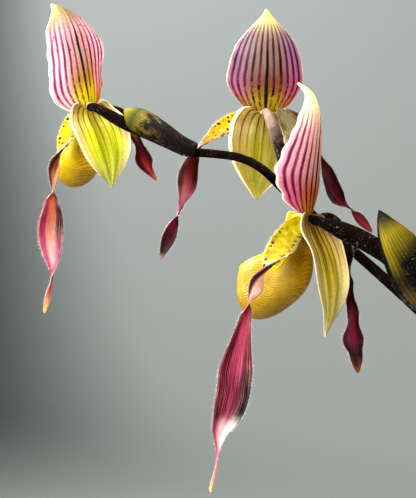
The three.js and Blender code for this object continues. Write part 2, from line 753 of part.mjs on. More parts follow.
// A point on the pouch, inset from its outside. The angle runs round from the front.
function pouchPoint(height, angle, inset) {
  const [, middle, width, depth] = tableAt(POUCH_ROWS, height);
  const below = Math.max(0, (TOE_ROUND_TOP - height) / (TOE_ROUND_TOP - TOE_BOTTOM));
  const round = Math.sqrt(Math.max(0, 1 - below * below));
  const x = -Math.max(width * round - inset, 0.05) * Math.sin(angle);
  const y = middle + Math.max(depth * round - inset, 0.05) * Math.cos(angle);
  return new THREE.Vector3(x, y, height);
}

function makePouch(name, how) {
  const sides = 16;
  const steps = 8;
  const outer = [];
  const inner = [];
  for (let k = 1; k <= steps; k++) {
    const share = 1 - Math.cos((Math.PI * k) / (2 * steps));
    const rings = [[], []];
    for (let j = 0; j < sides; j++) {
      const angle = (2 * Math.PI * j) / sides;
      const turn = THREE.MathUtils.radToDeg(Math.min(angle, 2 * Math.PI - angle));
      const rim = tableAt(RIM_ROWS, turn)[1];
      const height = lerp(TOE_BOTTOM, rim, share);
      const liner = lerp(TOE_BOTTOM + POUCH_WALL, rim, share);
      rings[0].push(pouchPoint(height, angle, 0));
      rings[1].push(pouchPoint(liner, angle, POUCH_WALL));
    }
    outer.push(rings[0]);
    inner.unshift(rings[1]);
  }
  const toe = new THREE.Vector3(0, POUCH_ROWS[0][1], TOE_BOTTOM);
  const toeInside = new THREE.Vector3(0, POUCH_ROWS[0][1] - 0.3, TOE_BOTTOM + POUCH_WALL);
  const geometry = loft([...outer, ...inner], toe, toeInside);
  geometry.scale(how.scale, how.scale, how.scale);
  return place(mesh(name, geometry, COLOURS.pouch, 0.5), how);
}

function makeColumn(name, how) {
  const rows = [
    [0, COLUMN_START, 0, COLUMN_RADIUS],
    [0, (COLUMN_START + COLUMN_END) / 2, 0.4, COLUMN_RADIUS * 0.9],
    [0, COLUMN_END, -0.4, COLUMN_RADIUS * 0.8],
  ];
  const stump = tube(rows, 3, 8, new THREE.Vector3(0, 0, 1));
  const shield = new THREE.SphereGeometry(1, 8, 5).scale(...SHIELD_SIZE).translate(...SHIELD_PLACE);
  return place(mesh(name, toGeometry(joined([stump, shield])), COLOURS.column, 0.5), how);
}

function makePetal(name, rows, phase) {
  const waved = (t, v) =>
    PETAL_WAVE * v ** 3 * Math.sin(2 * Math.PI * PETAL_WAVES * t + phase) * Math.sin(Math.PI * t);
  const surface = ribbonSurface(
    rows.map((row) => [...row, PETAL_ARC]),
    waved,
  );
  return mesh(name, blade(surface, 22, 4, BLADE_THICKNESS), COLOURS.petal, 0.55);
}

function makeBloom(letter, bloom) {
  const group = new THREE.Group();
  group.position.set(...bloom.centre);
  group.add(makeDorsal(`bloom_${letter}_dorsal_sepal`, DORSAL_ROWS[letter], bloom.dorsal));
  group.add(makeSynsepal(`bloom_${letter}_synsepal`, bloom.synsepal));
  group.add(makePouch(`bloom_${letter}_pouch`, bloom.pouch));
  group.add(makeColumn(`bloom_${letter}_column`, bloom.pouch));
  bloom.petals.forEach((petal, side) => {
    group.add(makePetal(`bloom_${letter}_${petal}`, PETAL_ROWS[letter][side], side * 2));
  });
  return group;
}

const orchid = new THREE.Group();
orchid.add(makePot());
orchid.add(makeBark());
orchid.add(mesh("rhizome_and_roots", toGeometry(rootstock(0)), COLOURS.root, 0.9));
LEAVES.forEach((leaf, i) => orchid.add(makeLeaf(leaf, i + 1)));
orchid.add(makeStem());
for (const [name, rows] of Object.entries(BRACT_ROWS)) orchid.add(makeBract(name, rows));
for (const [letter, bloom] of Object.entries(BLOOMS)) orchid.add(makeBloom(letter, bloom));

export default orchid;
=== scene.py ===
"""The looks of a potted slipper orchid: a clay pot of bark, two fans of strap leaves and a hairy stem of three blooms.

Sizes in the tables are millimetres, as in the part's own source, and every mesh is made in metres at its place.
"""

import logging
import math
from abc import ABC, abstractmethod
from collections.abc import Callable, Mapping, Sequence
from dataclasses import dataclass, replace
from enum import Enum

import bmesh
import bpy
import numpy as np
from bpy.types import Camera, Light, Material, Mesh, Node, NodeSocket, NodeTree, Object
from mathutils import Matrix, Vector


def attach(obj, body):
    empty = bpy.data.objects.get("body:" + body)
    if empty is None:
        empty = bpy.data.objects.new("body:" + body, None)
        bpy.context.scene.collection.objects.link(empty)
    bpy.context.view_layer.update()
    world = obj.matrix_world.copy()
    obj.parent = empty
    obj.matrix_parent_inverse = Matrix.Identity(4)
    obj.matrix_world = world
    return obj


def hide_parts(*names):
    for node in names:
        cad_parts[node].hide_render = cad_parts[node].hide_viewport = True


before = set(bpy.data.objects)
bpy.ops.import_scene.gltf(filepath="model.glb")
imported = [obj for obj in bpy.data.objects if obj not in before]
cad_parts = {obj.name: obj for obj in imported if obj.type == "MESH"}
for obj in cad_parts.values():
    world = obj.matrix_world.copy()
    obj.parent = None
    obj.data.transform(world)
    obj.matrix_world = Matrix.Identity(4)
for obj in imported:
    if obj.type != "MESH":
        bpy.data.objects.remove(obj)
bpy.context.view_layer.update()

LOG = logging.getLogger("orchid")
MM = 0.001
TURN = 2 * math.pi
PLACE = "place"
OUTWARD = "outward"
BODY = "root"
SMOOTH = {"interpolation_type": "SMOOTHSTEP"}
RGBA = {"data_type": "RGBA"}
VECTORS = {"data_type": "FLOAT_VECTOR"}
OPERATIONS = ("ADD", "SUBTRACT", "MULTIPLY", "DIVIDE", "MULTIPLY_ADD", "MAXIMUM", "COSINE", "SINE", "SCALE")
PLUS, MINUS, TIMES, OVER, SCALED, LARGER, COSINE, SINE, STRETCH = ({"operation": name} for name in OPERATIONS)

Array = np.ndarray
Point = Sequence[float]
Stops = Sequence[tuple[float, float | int]]
Rows = Sequence[Point]
Pattern = tuple[Node, Node]


def linear(colour: int) -> tuple[float, float, float, float]:
    """Turns an sRGB hex value, such as 0xd9a91c, to the linear colour that a shader takes, with an alpha of one."""
    channels = [(colour >> shift & 255) / 255 for shift in (16, 8, 0)]
    turned = [c / 12.92 if c <= 0.04045 else ((c + 0.055) / 1.055) ** 2.4 for c in channels]
    return (*turned, 1.0)


def add(tree: NodeTree, kind: str, settings: Mapping[str, object], *inputs: object) -> Node:
    """Adds a node with its settings and what its inputs take.

    Args:
        tree: The node tree that gets the node.
        kind: The node's type name, where a shader node's goes without "ShaderNode".
        settings: Its properties. "stops" are the places and colours of a ramp, where a whole number is an sRGB hex
            value and a decimal one is a grey.
        inputs: What its live inputs take, in their order, or one mapping by name. A node gives its first live output,
            a socket gives itself, and anything else is set as the value.

    Returns:
        The new node.
    """
    node = tree.nodes.new(kind if "Node" in kind else "ShaderNode" + kind)
    for name, value in settings.items():
        if name != "stops":
            setattr(node, name, value)
            continue
        elements = node.color_ramp.elements
        elements.remove(elements[-1])
        for k, (place, colour) in enumerate(value):
            element = elements.new(place) if k else elements[0]
            element.position = place
            element.color = linear(colour) if isinstance(colour, int) else (colour, colour, colour, 1.0)
    given = inputs[0] if inputs and isinstance(inputs[0], Mapping) else dict(enumerate(inputs))
    for key, source in given.items():
        live = [socket for socket in node.inputs if socket.enabled]
        target = live[key] if isinstance(key, int) else next(s for s in live if s.name == key)
        if isinstance(source, Node):
            source = next(socket for socket in source.outputs if socket.enabled)
        if isinstance(source, NodeSocket):
            tree.links.new(source, target)
        else:
            target.default_value = source
    return node


# --- Shapes ---


def unit(vectors: Array) -> Array:
    """Scales vectors along the last axis to a length of one."""
    return vectors / np.maximum(np.linalg.norm(vectors, axis=-1, keepdims=True), 1e-12)


def circle(sides: int) -> Array:
    """Angles spaced evenly round a circle."""
    return np.linspace(0, 2 * np.pi, sides, endpoint=False)


def bell(x: Array, width: float) -> Array:
    """A smooth swelling round zero, a little wider than its width on each side."""
    return np.exp(-((x / width) ** 2))


def ripple(t: Array, waves: float, phase: float | Array = 0.0) -> Array:
    """A number of waves over places from 0 to 1."""
    return np.sin(2 * np.pi * waves * t + phase)


def points_of(*parts: Array | float) -> Array:
    """Points from their coordinates, each of which may be a number, a row, a column or a grid."""
    return np.stack(np.broadcast_arrays(*parts), -1)


def along_and_across(steps: int, columns: int) -> tuple[Array, Array]:
    """Places along a blade from 0 to 1 as a column, and across it from -1 to 1 as a row."""
    return np.linspace(0, 1, steps)[:, None], np.linspace(-1, 1, columns)[None, :]


def rows_at(rows: Rows, t: Array) -> Array:
    """Uniform Catmull-Rom through rows of numbers, with the ends carried on straight.

    Args:
        rows: The rows, all equally long.
        t: Places from 0 to 1 along them.

    Returns:
        A row of numbers for each place.
    """
    table = np.asarray(rows, float)
    last = len(table) - 1
    place = np.clip(t, 0, 1) * last
    i = np.minimum(place.astype(int), last - 1)
    s = (place - i)[..., None]
    padded = np.vstack([2 * table[0] - table[1], table, 2 * table[-1] - table[-2]])
    p0, p1, p2, p3 = (padded[i + k] for k in range(4))
    bend = 2 * p0 - 5 * p1 + 4 * p2 - p3
    return 0.5 * (2 * p1 + (p2 - p0) * s + bend * s**2 + (3 * p1 - p0 - 3 * p2 + p3) * s**3)


def tangents(point_at: Callable[[Array], Array], t: Array) -> Array:
    """Unit directions of a path at places from 0 to 1 along it."""
    step = 1e-3
    return unit(point_at(np.minimum(t + step, 1)) - point_at(np.maximum(t - step, 0)))


def smooth_table(rows: Rows, place: Array) -> Array:
    """Smooth curves through rows whose first column is the place, with no kink at a row.

    Args:
        rows: The rows, in rising order of place.
        place: Where to read them.

    Returns:
        The other columns at each place.
    """
    table = np.asarray(rows, float)
    x, y = table[:, 0], table[:, 1:]
    slopes = np.gradient(y, x, axis=0)
    place = np.clip(place, x[0], x[-1])
    i = np.clip(np.searchsorted(x, place) - 1, 0, len(x) - 2)
    gap = (x[i + 1] - x[i])[..., None]
    s = (place - x[i])[..., None] / gap
    first = (1 + 2 * s) * (1 - s) ** 2 * y[i] + s * (1 - s) ** 2 * gap * slopes[i]
    return first + s**2 * (3 - 2 * s) * y[i + 1] + s**2 * (s - 1) * gap * slopes[i + 1]


def rotation(degrees: float, axis: str) -> Array:
    """The matrix that turns by an angle about one of the axes X, Y and Z."""
    turn = np.eye(3)
    i, j = {"X": (1, 2), "Y": (2, 0), "Z": (0, 1)}[axis]
    turn[i, i] = turn[j, j] = math.cos(math.radians(degrees))
    turn[j, i] = math.sin(math.radians(degrees))
    turn[i, j] = -turn[j, i]
    return turn


@dataclass(frozen=True)
class Turn:
    """How a piece of a bloom leans and faces, and how its table is stretched."""

    facing: float
    roll: float = 0.0
    pitch: float = 0.0
    length: float = 1.0
    width: float = 1.0
    slim: float = 1.0
    bend: float = 1.0
    lift: float = 0.0
    skew: float = 0.0
    wave: float = 1.0
    phase: float = 0.0
    scale: float = 1.0

    def place(self, points: Array, centre: Point) -> Array:
        """Turns points of the bloom's own frame and moves them to its middle."""
        turn = rotation(90 - self.facing, "Z") @ rotation(-self.roll, "Y") @ rotation(-self.pitch, "X")
        return points @ turn.T + np.asarray(centre, float)


def arc_grid(centre: Array, side: Array, half: Array, arc: Array, v: Array, relief: Array, along: Array) -> Array:
    """Points of a blade whose cross-sections are arcs.

    Args:
        centre: Middle of each cross-section.
        side: Direction across each.
        half: Half width of each, along its arc.
        arc: Degrees of the arc each side of the middle.
        v: Places across, from -1 to 1, as a row.
        relief: How far each point stands off the arc, by cross-section and place across.
        along: Direction along the blade at each cross-section.

    Returns:
        Points by cross-section and place across.
    """
    angle = np.radians(np.maximum(arc, 0.5))
    radius = half / angle
    turn = angle[:, None] * v
    out = (radius[:, None] * np.sin(turn))[..., None] * side[:, None]
    up = (radius[:, None] * (1 - np.cos(turn)) + relief)[..., None] * np.cross(along, side)[:, None]
    return centre[:, None] + out + up


def quads(number: Array) -> Array:
    """The four corners of each cell in a grid of vertex numbers."""
    return np.stack([number[:-1, :-1], number[1:, :-1], number[1:, 1:], number[:-1, 1:]], -1)


def mesh_of(name: str, points: Array, faces: Array, places: Array) -> Mesh:
    """A smooth mesh from points in millimetres, with the place of each as its UV map.

    Args:
        name: The mesh's name.
        points: Its vertices.
        faces: Vertex numbers of its four-sided faces.
        places: Across and along of each vertex, from 0 to 1.

    Returns:
        The mesh, in metres.
    """
    mesh = bpy.data.meshes.new(name)
    mesh.from_pydata((points.reshape(-1, 3) * MM).tolist(), [], faces.reshape(-1, 4).tolist())
    corners = np.empty(len(mesh.loops), int)
    mesh.loops.foreach_get("vertex_index", corners)
    layer = mesh.uv_layers.new(name=PLACE)
    layer.data.foreach_set("uv", places.reshape(-1, 2)[corners].ravel())
    mesh.shade_smooth()
    return mesh


def open_mesh(name: str, points: Array) -> Mesh:
    """An open sheet through a grid of points, by angle and radius, that faces up."""
    number = np.arange(points[..., 0].size).reshape(points.shape[:2])
    return mesh_of(name, points, np.roll(quads(number), -1, axis=-1), np.zeros((*points.shape[:2], 2)))


def blade_mesh(name: str, middle: Array, margin: float, body: float, rib: float | Array = 0.0) -> Mesh:
    """A thin closed blade from the grid of points in the middle of its thickness.

    Args:
        name: The mesh's name.
        middle: Points by place along and place across.
        margin: Thickness at both margins.
        body: Thickness along the middle, without its rib.
        rib: How much thicker it is at each point.

    Returns:
        The mesh, with places across and along as its UV map.
    """
    rows, columns = middle.shape[:2]
    t, v = along_and_across(rows, columns)
    thickness = margin + (body - margin) * np.sqrt(1 - 0.98 * v**2) + rib
    normal = unit(np.cross(np.gradient(middle, axis=0), np.gradient(middle, axis=1)))
    offset = normal * thickness[..., None] / 2
    number = np.arange(rows * columns).reshape(rows, columns)
    under = number + rows * columns
    sheets = [quads(number).reshape(-1, 4), (quads(number)[..., ::-1] + rows * columns).reshape(-1, 4)]
    for side in ((slice(None, None, -1), 0), (slice(None), -1), (0, slice(None)), (-1, slice(None, None, -1))):
        edge, below = number[side], under[side]
        sheets.append(np.stack([edge[:-1], edge[1:], below[1:], below[:-1]], -1))
    places = points_of((v + 1) / 2, t)
    points = np.stack([middle + offset, middle - offset])
    return mesh_of(name, points, np.concatenate(sheets), np.stack([places, places]))


def tube_rings(centres: Array, radii: Array, reference: Point) -> Array:
    """Rings of a closed tube whose cross-sections may be ribbed.

    Args:
        centres: Points along its middle.
        radii: Radius by place along and place round.
        reference: A direction that the tube never takes.

    Returns:
        The rings, the first and the last drawn to a point.
    """
    sides = radii.shape[1]
    along = unit(np.gradient(centres, axis=0))
    side = unit(np.cross(along, np.asarray(reference, float)))
    other = np.cross(along, side)
    angle = circle(sides)[None, :, None]
    spokes = np.cos(angle) * side[:, None] + np.sin(angle) * other[:, None]
    first, last = (np.broadcast_to(centres[k], (1, sides, 3)) for k in (0, -1))
    return np.concatenate([first, centres[:, None] + spokes * radii[..., None], last])


def ring_mesh(name: str, rings: Array, along: Array | None = None) -> Mesh:
    """A closed body from rings of points, whose first and last ring are drawn to a point.

    Args:
        name: The mesh's name.
        rings: Points by ring and place round.
        along: The place along of each ring, where it isn't even.

    Returns:
        The mesh, with its poles closed and its faces outwards.
    """
    count, sides = rings.shape[:2]
    number = np.arange(count * sides).reshape(count, sides)
    faces = quads(np.hstack([number, number[:, :1]]))[..., [0, 3, 2, 1]]
    along = np.linspace(0, 1, count) if along is None else along
    mesh = mesh_of(name, rings, faces, points_of(np.linspace(0, 1, sides, endpoint=False), along[:, None]))
    work = bmesh.new()
    work.from_mesh(mesh)
    bmesh.ops.remove_doubles(work, verts=work.verts, dist=1e-7)
    bmesh.ops.dissolve_degenerate(work, edges=work.edges, dist=1e-8)
    if work.calc_volume(signed=True) < 0:
        bmesh.ops.reverse_faces(work, faces=work.faces)
    work.to_mesh(mesh)
    work.free()
    return mesh


def joined(name: str, meshes: Sequence[Mesh]) -> Mesh:
    """One mesh of several closed bodies."""
    work = bmesh.new()
    for mesh in meshes:
        work.from_mesh(mesh)
    whole = bpy.data.meshes.new(name)
    work.to_mesh(whole)
    work.free()
    whole.shade_smooth()
    return whole


def placed(name: str, data: Mesh | Light | Camera) -> Object:
    """A new object of the scene."""
    thing = bpy.data.objects.new(name, data)
    bpy.context.scene.collection.objects.link(thing)
    return thing


def baked(carrier: Object, name: str) -> Mesh:
    """The plain mesh that an object's modifiers make. The object goes, and so do its modifiers."""
    made = bpy.data.meshes.new_from_object(carrier.evaluated_get(bpy.context.evaluated_depsgraph_get()))
    made.name = name
    carrier.modifiers.clear()
    bpy.data.objects.remove(carrier)
    return made


def show(mesh: Mesh, material: Material | None = None, nodes: Sequence[str] = ()) -> None:
    """Puts a finished piece in the scene on the part's body.

    Args:
        mesh: The piece, at its place.
        material: Its finish, where the mesh has none yet.
        nodes: The CAD nodes that it stands for.
    """
    piece = placed(mesh.name, mesh)
    if material:
        mesh.materials.clear()
        mesh.materials.append(material)
    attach(piece, BODY)
    if nodes:
        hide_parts(*nodes)
    LOG.info("%s: %d faces", piece.name, len(mesh.polygons))


# --- Finishes ---


@dataclass(frozen=True)
class Finish(ABC):
    """What a surface is made of. Each finish draws its own colour and relief, and the shader is put together here."""

    name: str

    roughness = 0.5
    relief_mm = 0.15
    glow = 0.0
    fuzz = 0.0
    gloss = 0.5
    refraction = 1.42
    bump_strength = 0.6

    @abstractmethod
    def pattern(self, tree: NodeTree, spot: NodeSocket) -> Pattern:
        """Draws the finish.

        Args:
            tree: The material's node tree.
            spot: The object coordinates.

        Returns:
            The node that gives the colour and the one that gives the height of the relief.
        """

    def dress(self) -> Material:
        """Makes the material.

        Returns:
            The material. Where the finish glows, light that falls on the far side shines through it.
        """
        made = bpy.data.materials.new(self.name)
        made.use_nodes = True
        tree = made.node_tree
        tree.nodes.clear()
        colour, height = self.pattern(tree, add(tree, "TexCoord", {}).outputs["Object"])
        bump = add(tree, "Bump", {}, {"Height": height, "Strength": self.bump_strength})
        bump.inputs["Distance"].default_value = self.relief_mm * MM
        skin = add(tree, "BsdfPrincipled", {}, {"Base Color": colour, "Normal": bump})
        for name, value in (
            ("Roughness", self.roughness),
            ("IOR", self.refraction),
            ("Sheen Weight", self.fuzz),
            ("Specular IOR Level", self.gloss),
        ):
            skin.inputs[name].default_value = value
        if self.glow:
            inside = add(tree, "BsdfTranslucent", {}, colour, bump)
            skin = add(tree, "MixShader", {}, self.glow, skin, inside)
        add(tree, "OutputMaterial", {}, skin)
        return made


def across_and_along(tree: NodeTree, spot: NodeSocket, sway: float) -> tuple[Node, NodeSocket, Node]:
    """Places on a blade, for patterns that follow its growth.

    Args:
        tree: The material's node tree.
        spot: The object coordinates.
        sway: How far the place across wanders from a straight line.

    Returns:
        The place across from -1 to 1, the place along from 0 to 1, and the distance from the midrib from 0 to 1.
    """
    place = add(tree, "SeparateXYZ", {}, add(tree, "UVMap", {"uv_map": PLACE}))
    wander = add(tree, "TexNoise", {}, spot, 1 / (7 * MM), 2.0)
    shift = add(tree, "Math", SCALED, wander, sway, -1 - sway / 2)
    across = add(tree, "Math", SCALED, place.outputs[0], 2.0, shift)
    return across, place.outputs[1], add(tree, "Math", {"operation": "ABSOLUTE"}, across)


def lay(
    tree: NodeTree,
    under: Node | int,
    over: Node | int,
    value: Node | NodeSocket,
    start: float,
    end: float,
    most: Node | float = 1.0,
) -> Node:
    """Lays a colour over another as a value runs from one number to a second one.

    Args:
        tree: The material's node tree.
        under: The colour below, as a node or an sRGB hex value.
        over: The colour that covers it.
        value: What decides how far it is covered.
        start: The value up to which it is bare.
        end: The value from which it is covered most.
        most: How far it is covered there, from 0 to 1.

    Returns:
        The node that gives the colour of both.
    """
    share = add(tree, "MapRange", SMOOTH, value, start, end, 0.0, most)
    under, over = (linear(shade) if isinstance(shade, int) else shade for shade in (under, over))
    return add(tree, "Mix", RGBA, share, under, over)


@dataclass(frozen=True)
class SepalTissue(Finish):
    """Sepal of a slipper orchid: waxy skin over pale wet cells, with veins filled by dark sap.

    It gives the eye a pale ground that light shines through, broad flushed stripes with a dark line in each, which fan
    out from the base and run together at the tip, and a cream margin.
    """

    ground: Stops
    side: Stops
    band: Stops
    band_strength: Stops
    vein: Stops
    vein_strength: Stops
    margin: int
    midrib: Stops = ((0, 0.0),)
    vein_width: float = 0.3
    margin_from: float = 0.9
    veins: float = 6.0
    broken_until: float = 0.3
    side_from: float = 0.25
    tip_skew: float = 0.0
    flecks: float = 0.0
    fleck_colour: int = 0x8A3A3C
    midrib_colour: int = 0x1C0A0C

    roughness = 0.42
    relief_mm = 0.22
    glow = 0.6
    fuzz = 0.06

    def pattern(self, tree: NodeTree, spot: NodeSocket) -> Pattern:
        """Draws the ground, the flushed sides, the stripes, the veins, the midrib and the margin."""
        across, along, away = across_and_along(tree, spot, 0.035)
        place = add(tree, "Math", SCALED, across, -self.tip_skew, along)
        tables = (self.ground, self.side, self.band, self.band_strength, self.vein_strength)
        ground, side, band, band_strength, vein_strength = (
            add(tree, "ValToRGB", {"stops": stops}, place) for stops in tables
        )
        # Ground, flushed with colour towards both sides.
        flush = add(tree, "MapRange", SMOOTH, away, self.side_from, self.side_from + 0.45)
        colour = add(tree, "Mix", RGBA, flush, ground, side)
        # Broad stripes, one for each vein, which ebb and swell along their length.
        turns = add(tree, "Math", TIMES, across, TURN * self.veins)
        line = add(tree, "Math", COSINE, turns)
        grid = add(tree, "CombineXYZ", {}, across, along)
        slow = add(tree, "VectorMath", TIMES, grid, (self.veins, 4.0, 0.0))
        ebb = add(tree, "MapRange", {}, add(tree, "TexNoise", {}, slow, 1.0, 2.0), 0.3, 0.6, 0.6)
        wide = add(tree, "MapRange", SMOOTH, line, -0.75, 0.7)
        for share in (ebb, add(tree, "Math", SCALED, flush, 0.55, 0.45), band_strength):
            wide = add(tree, "Math", TIMES, wide, share)
        colour = add(tree, "Mix", RGBA, wide, colour, band)
        # Veins: a dark line in each stripe, thinner ones between, broken to dashes near the base.
        fine = add(tree, "Math", COSINE, add(tree, "Math", TIMES, turns, 2.0))
        start = 1 - 2 * self.vein_width
        strong = add(tree, "MapRange", SMOOTH, line, start, start + 0.45)
        veins = add(tree, "Math", LARGER, strong, add(tree, "MapRange", SMOOTH, fine, 0.82, 1.1, 0.0, 0.45))
        quick = add(tree, "VectorMath", TIMES, grid, (self.veins * 2.2, 30.0, 0.0))
        gap = add(tree, "MapRange", SMOOTH, add(tree, "TexNoise", {}, quick, 1.0, 1.0), 0.42, 0.56)
        kept = add(tree, "MapRange", SMOOTH, along, self.broken_until * 0.6, self.broken_until * 1.5 + 0.01)
        for share in (add(tree, "Math", LARGER, gap, kept), vein_strength, ebb):
            veins = add(tree, "Math", TIMES, veins, share)
        sap = add(tree, "ValToRGB", {"stops": self.vein}, along)
        sap = add(tree, "Mix", RGBA, flush, sap, add(tree, "VectorMath", STRETCH, band, 0.4))
        colour = add(tree, "Mix", RGBA, veins, colour, sap)
        # Flecks of about half a millimetre in the upper half.
        dots = add(tree, "TexVoronoi", {}, spot, 1 / (2.6 * MM)).outputs["Distance"]
        zone = add(tree, "ValToRGB", {"stops": ((0.3, 0.0), (0.5, 0.8), (0.68, 0.8), (0.76, 0.0))}, place)
        colour = lay(tree, colour, self.fleck_colour, dots, self.flecks + 0.04, self.flecks - 0.02, zone)
        rib = add(tree, "Math", MINUS, add(tree, "ValToRGB", {"stops": self.midrib}, along), away)
        colour = lay(tree, colour, self.midrib_colour, rib, -0.012, 0.03)
        colour = lay(tree, colour, self.margin, away, self.margin_from, self.margin_from + 0.07)
        # Cells of about half a millimetre, which catch the light one by one.
        cells = add(tree, "TexNoise", {}, spot, 1 / (0.9 * MM), 3.0)
        colour = add(tree, "VectorMath", STRETCH, colour, add(tree, "Math", SCALED, cells, 0.7, 0.65))
        return colour, add(tree, "Math", SCALED, cells, 0.35, veins)


@dataclass(frozen=True)
class PetalTissue(Finish):
    """Twisted petal: satin skin over sap-filled cells, dark at the margins and streaked along its length."""

    centre: Stops
    left: Stops
    right: Stops
    streak: Stops
    spots: Stops
    margin: Stops
    streak_colour: int = 0x2A0912
    pale_streak_and_sheen: int = 0xC88890
    spot_colour: int = 0x2B0B10
    margin_colour: int = 0xE9DCC8
    length_mm: float = 115.0
    width_mm: float = 9.0

    roughness = 0.4
    relief_mm = 0.16
    glow = 0.55
    gloss = 0.3

    def pattern(self, tree: NodeTree, spot: NodeSocket) -> Pattern:
        """Draws the middle and both sides, then streaks, spots and the fine pale margin."""
        across, along, away = across_and_along(tree, spot, 0.12)
        tables = (self.centre, self.left, self.right, self.streak, self.spots, self.margin)
        colour, left, right, streak, limit, margin = (
            add(tree, "ValToRGB", {"stops": stops}, along) for stops in tables
        )
        grid = add(tree, "CombineXYZ", {}, across, along)
        lines, thin = (
            add(tree, "TexNoise", {}, add(tree, "VectorMath", TIMES, grid, size), 1.0, detail)
            for size, detail in (((12.0, 5.0, 0.0), 3.0), ((20.0, 6.0, 0.0), 2.0))
        )
        swayed = add(tree, "Math", PLUS, across, add(tree, "Math", SCALED, lines, 0.5, -0.25))
        colour = lay(tree, colour, left, swayed, -0.15, -0.62)
        colour = lay(tree, colour, right, swayed, 0.15, 0.62)
        # Pale streaks, partly fine pale lines of the tissue and partly painted sheen along them, then the dark ones.
        colour = lay(tree, colour, self.pale_streak_and_sheen, thin, 0.5, 0.36, streak)
        colour = lay(tree, colour, self.streak_colour, thin, 0.46, 0.66, streak)
        # Round spots of one to two millimetres, by real size across and along.
        flat = add(tree, "VectorMath", TIMES, grid, (self.width_mm / 2, self.length_mm, 0.0))
        dots = add(tree, "TexVoronoi", {}, {"Vector": flat, "Scale": 0.34, "Randomness": 0.9})
        dots = add(tree, "Math", MINUS, limit, dots.outputs["Distance"])
        colour = lay(tree, colour, self.spot_colour, dots, 0.0, 0.1)
        colour = lay(tree, colour, self.margin_colour, away, 0.86, 0.97, margin)
        cells = add(tree, "TexNoise", {}, spot, 1 / (0.8 * MM), 3.0)
        colour = add(tree, "VectorMath", STRETCH, colour, add(tree, "Math", SCALED, cells, 0.7, 0.65))
        # The yellow foot is puckered, in swellings about five millimetres across.
        swell = add(tree, "TexNoise", {}, spot, 1 / (5 * MM), 1.0)
        foot = add(tree, "MapRange", SMOOTH, along, 0.3, 0.2, 0.0, 30.0)
        return colour, add(tree, "Math", SCALED, swell, foot, add(tree, "Math", SCALED, lines, 1.2, cells))


@dataclass(frozen=True)
class PouchTissue(Finish):
    """Pouch of a slipper orchid: thick waxy tissue, golden, with a fine net of ochre veins in bands round it."""

    # The cream stop at 0.8, below the rim, is partly the pouch's own pale shoulder and partly a painted highlight of
    # light from above.
    ground: Stops = (
        (0, 0xBCA008), (0.3, 0xD0B80C), (0.6, 0xDCC818), (0.8, 0xEADC70), (0.92, 0xECE244), (1, 0xECE418)
    )
    vein: int = 0x7A4C08
    band_mm: float = 1.9
    wall_mm: float = 45.0

    roughness = 0.34
    relief_mm = 0.35
    glow = 0.4

    def pattern(self, tree: NodeTree, spot: NodeSocket) -> Pattern:
        """Draws the ground, the bands round the toe and the mottling between them."""
        _, along, _ = across_and_along(tree, spot, 0.0)
        drift = add(tree, "Math", SCALED, add(tree, "TexNoise", {}, spot, 1 / (14 * MM), 1.0), 0.3, -0.15)
        colour = add(tree, "ValToRGB", {"stops": self.ground}, add(tree, "Math", PLUS, along, drift))
        # Bands about two millimetres apart up the wall, which is as high as from the toe to the rim.
        turns = TURN * self.wall_mm / self.band_mm
        bands = add(tree, "Math", TIMES, add(tree, "Math", SCALED, drift, 0.8, along), turns)
        bands = add(tree, "MapRange", SMOOTH, add(tree, "Math", SINE, bands), -0.5, 0.9)
        mottle = add(tree, "TexNoise", {}, spot, 1 / (3 * MM), 3.0)
        mottle = add(tree, "MapRange", {}, mottle, 0.35, 0.62, 0.15, 0.62)
        for share in (mottle, add(tree, "MapRange", {}, along, 1.0, 0.75)):
            bands = add(tree, "Math", TIMES, bands, share)
        return add(tree, "Mix", RGBA, bands, colour, linear(self.vein)), bands


@dataclass(frozen=True)
class StemSkin(Finish):
    """Flower stem: near-black purple skin over green, matt between its hairs."""

    dark: int = 0x050303
    light: int = 0x160B0A
    pale: int = 0x6E5C56
    gland: int = 0xA29A94
    painted_glow_place: Point = (-139.0, 92.0, 468.0)
    painted_glow_reach: float = 26.0

    roughness = 0.9
    relief_mm = 0.2
    gloss = 0.03

    def pattern(self, tree: NodeTree, spot: NodeSocket) -> Pattern:
        """Draws long soft mottles, the painted glow of the top ovary and a fine pimpled skin with pale glands."""
        mottle = add(tree, "TexNoise", {}, spot, 1 / (5 * MM), 4.0)
        colour = add(tree, "ValToRGB", {"stops": ((0.35, self.dark), (0.75, self.light))}, mottle)
        # Painted light: the top bloom's ovary is made pale near its tip, for its down lit from behind.
        place = tuple(number * MM for number in self.painted_glow_place)
        away = add(tree, "VectorMath", {"operation": "DISTANCE"}, spot, place)
        away = add(tree, "Math", OVER, away, self.painted_glow_reach * MM)
        young = add(tree, "Math", SCALED, mottle, -0.9, 1.75)
        young = add(tree, "Math", MINUS | {"use_clamp": True}, young, away)
        colour = add(tree, "Mix", RGBA, young, colour, linear(self.pale))
        height = add(tree, "TexNoise", {}, spot, 1 / (0.7 * MM), 2.0)
        return lay(tree, colour, self.gland, height, 0.69, 0.76), height


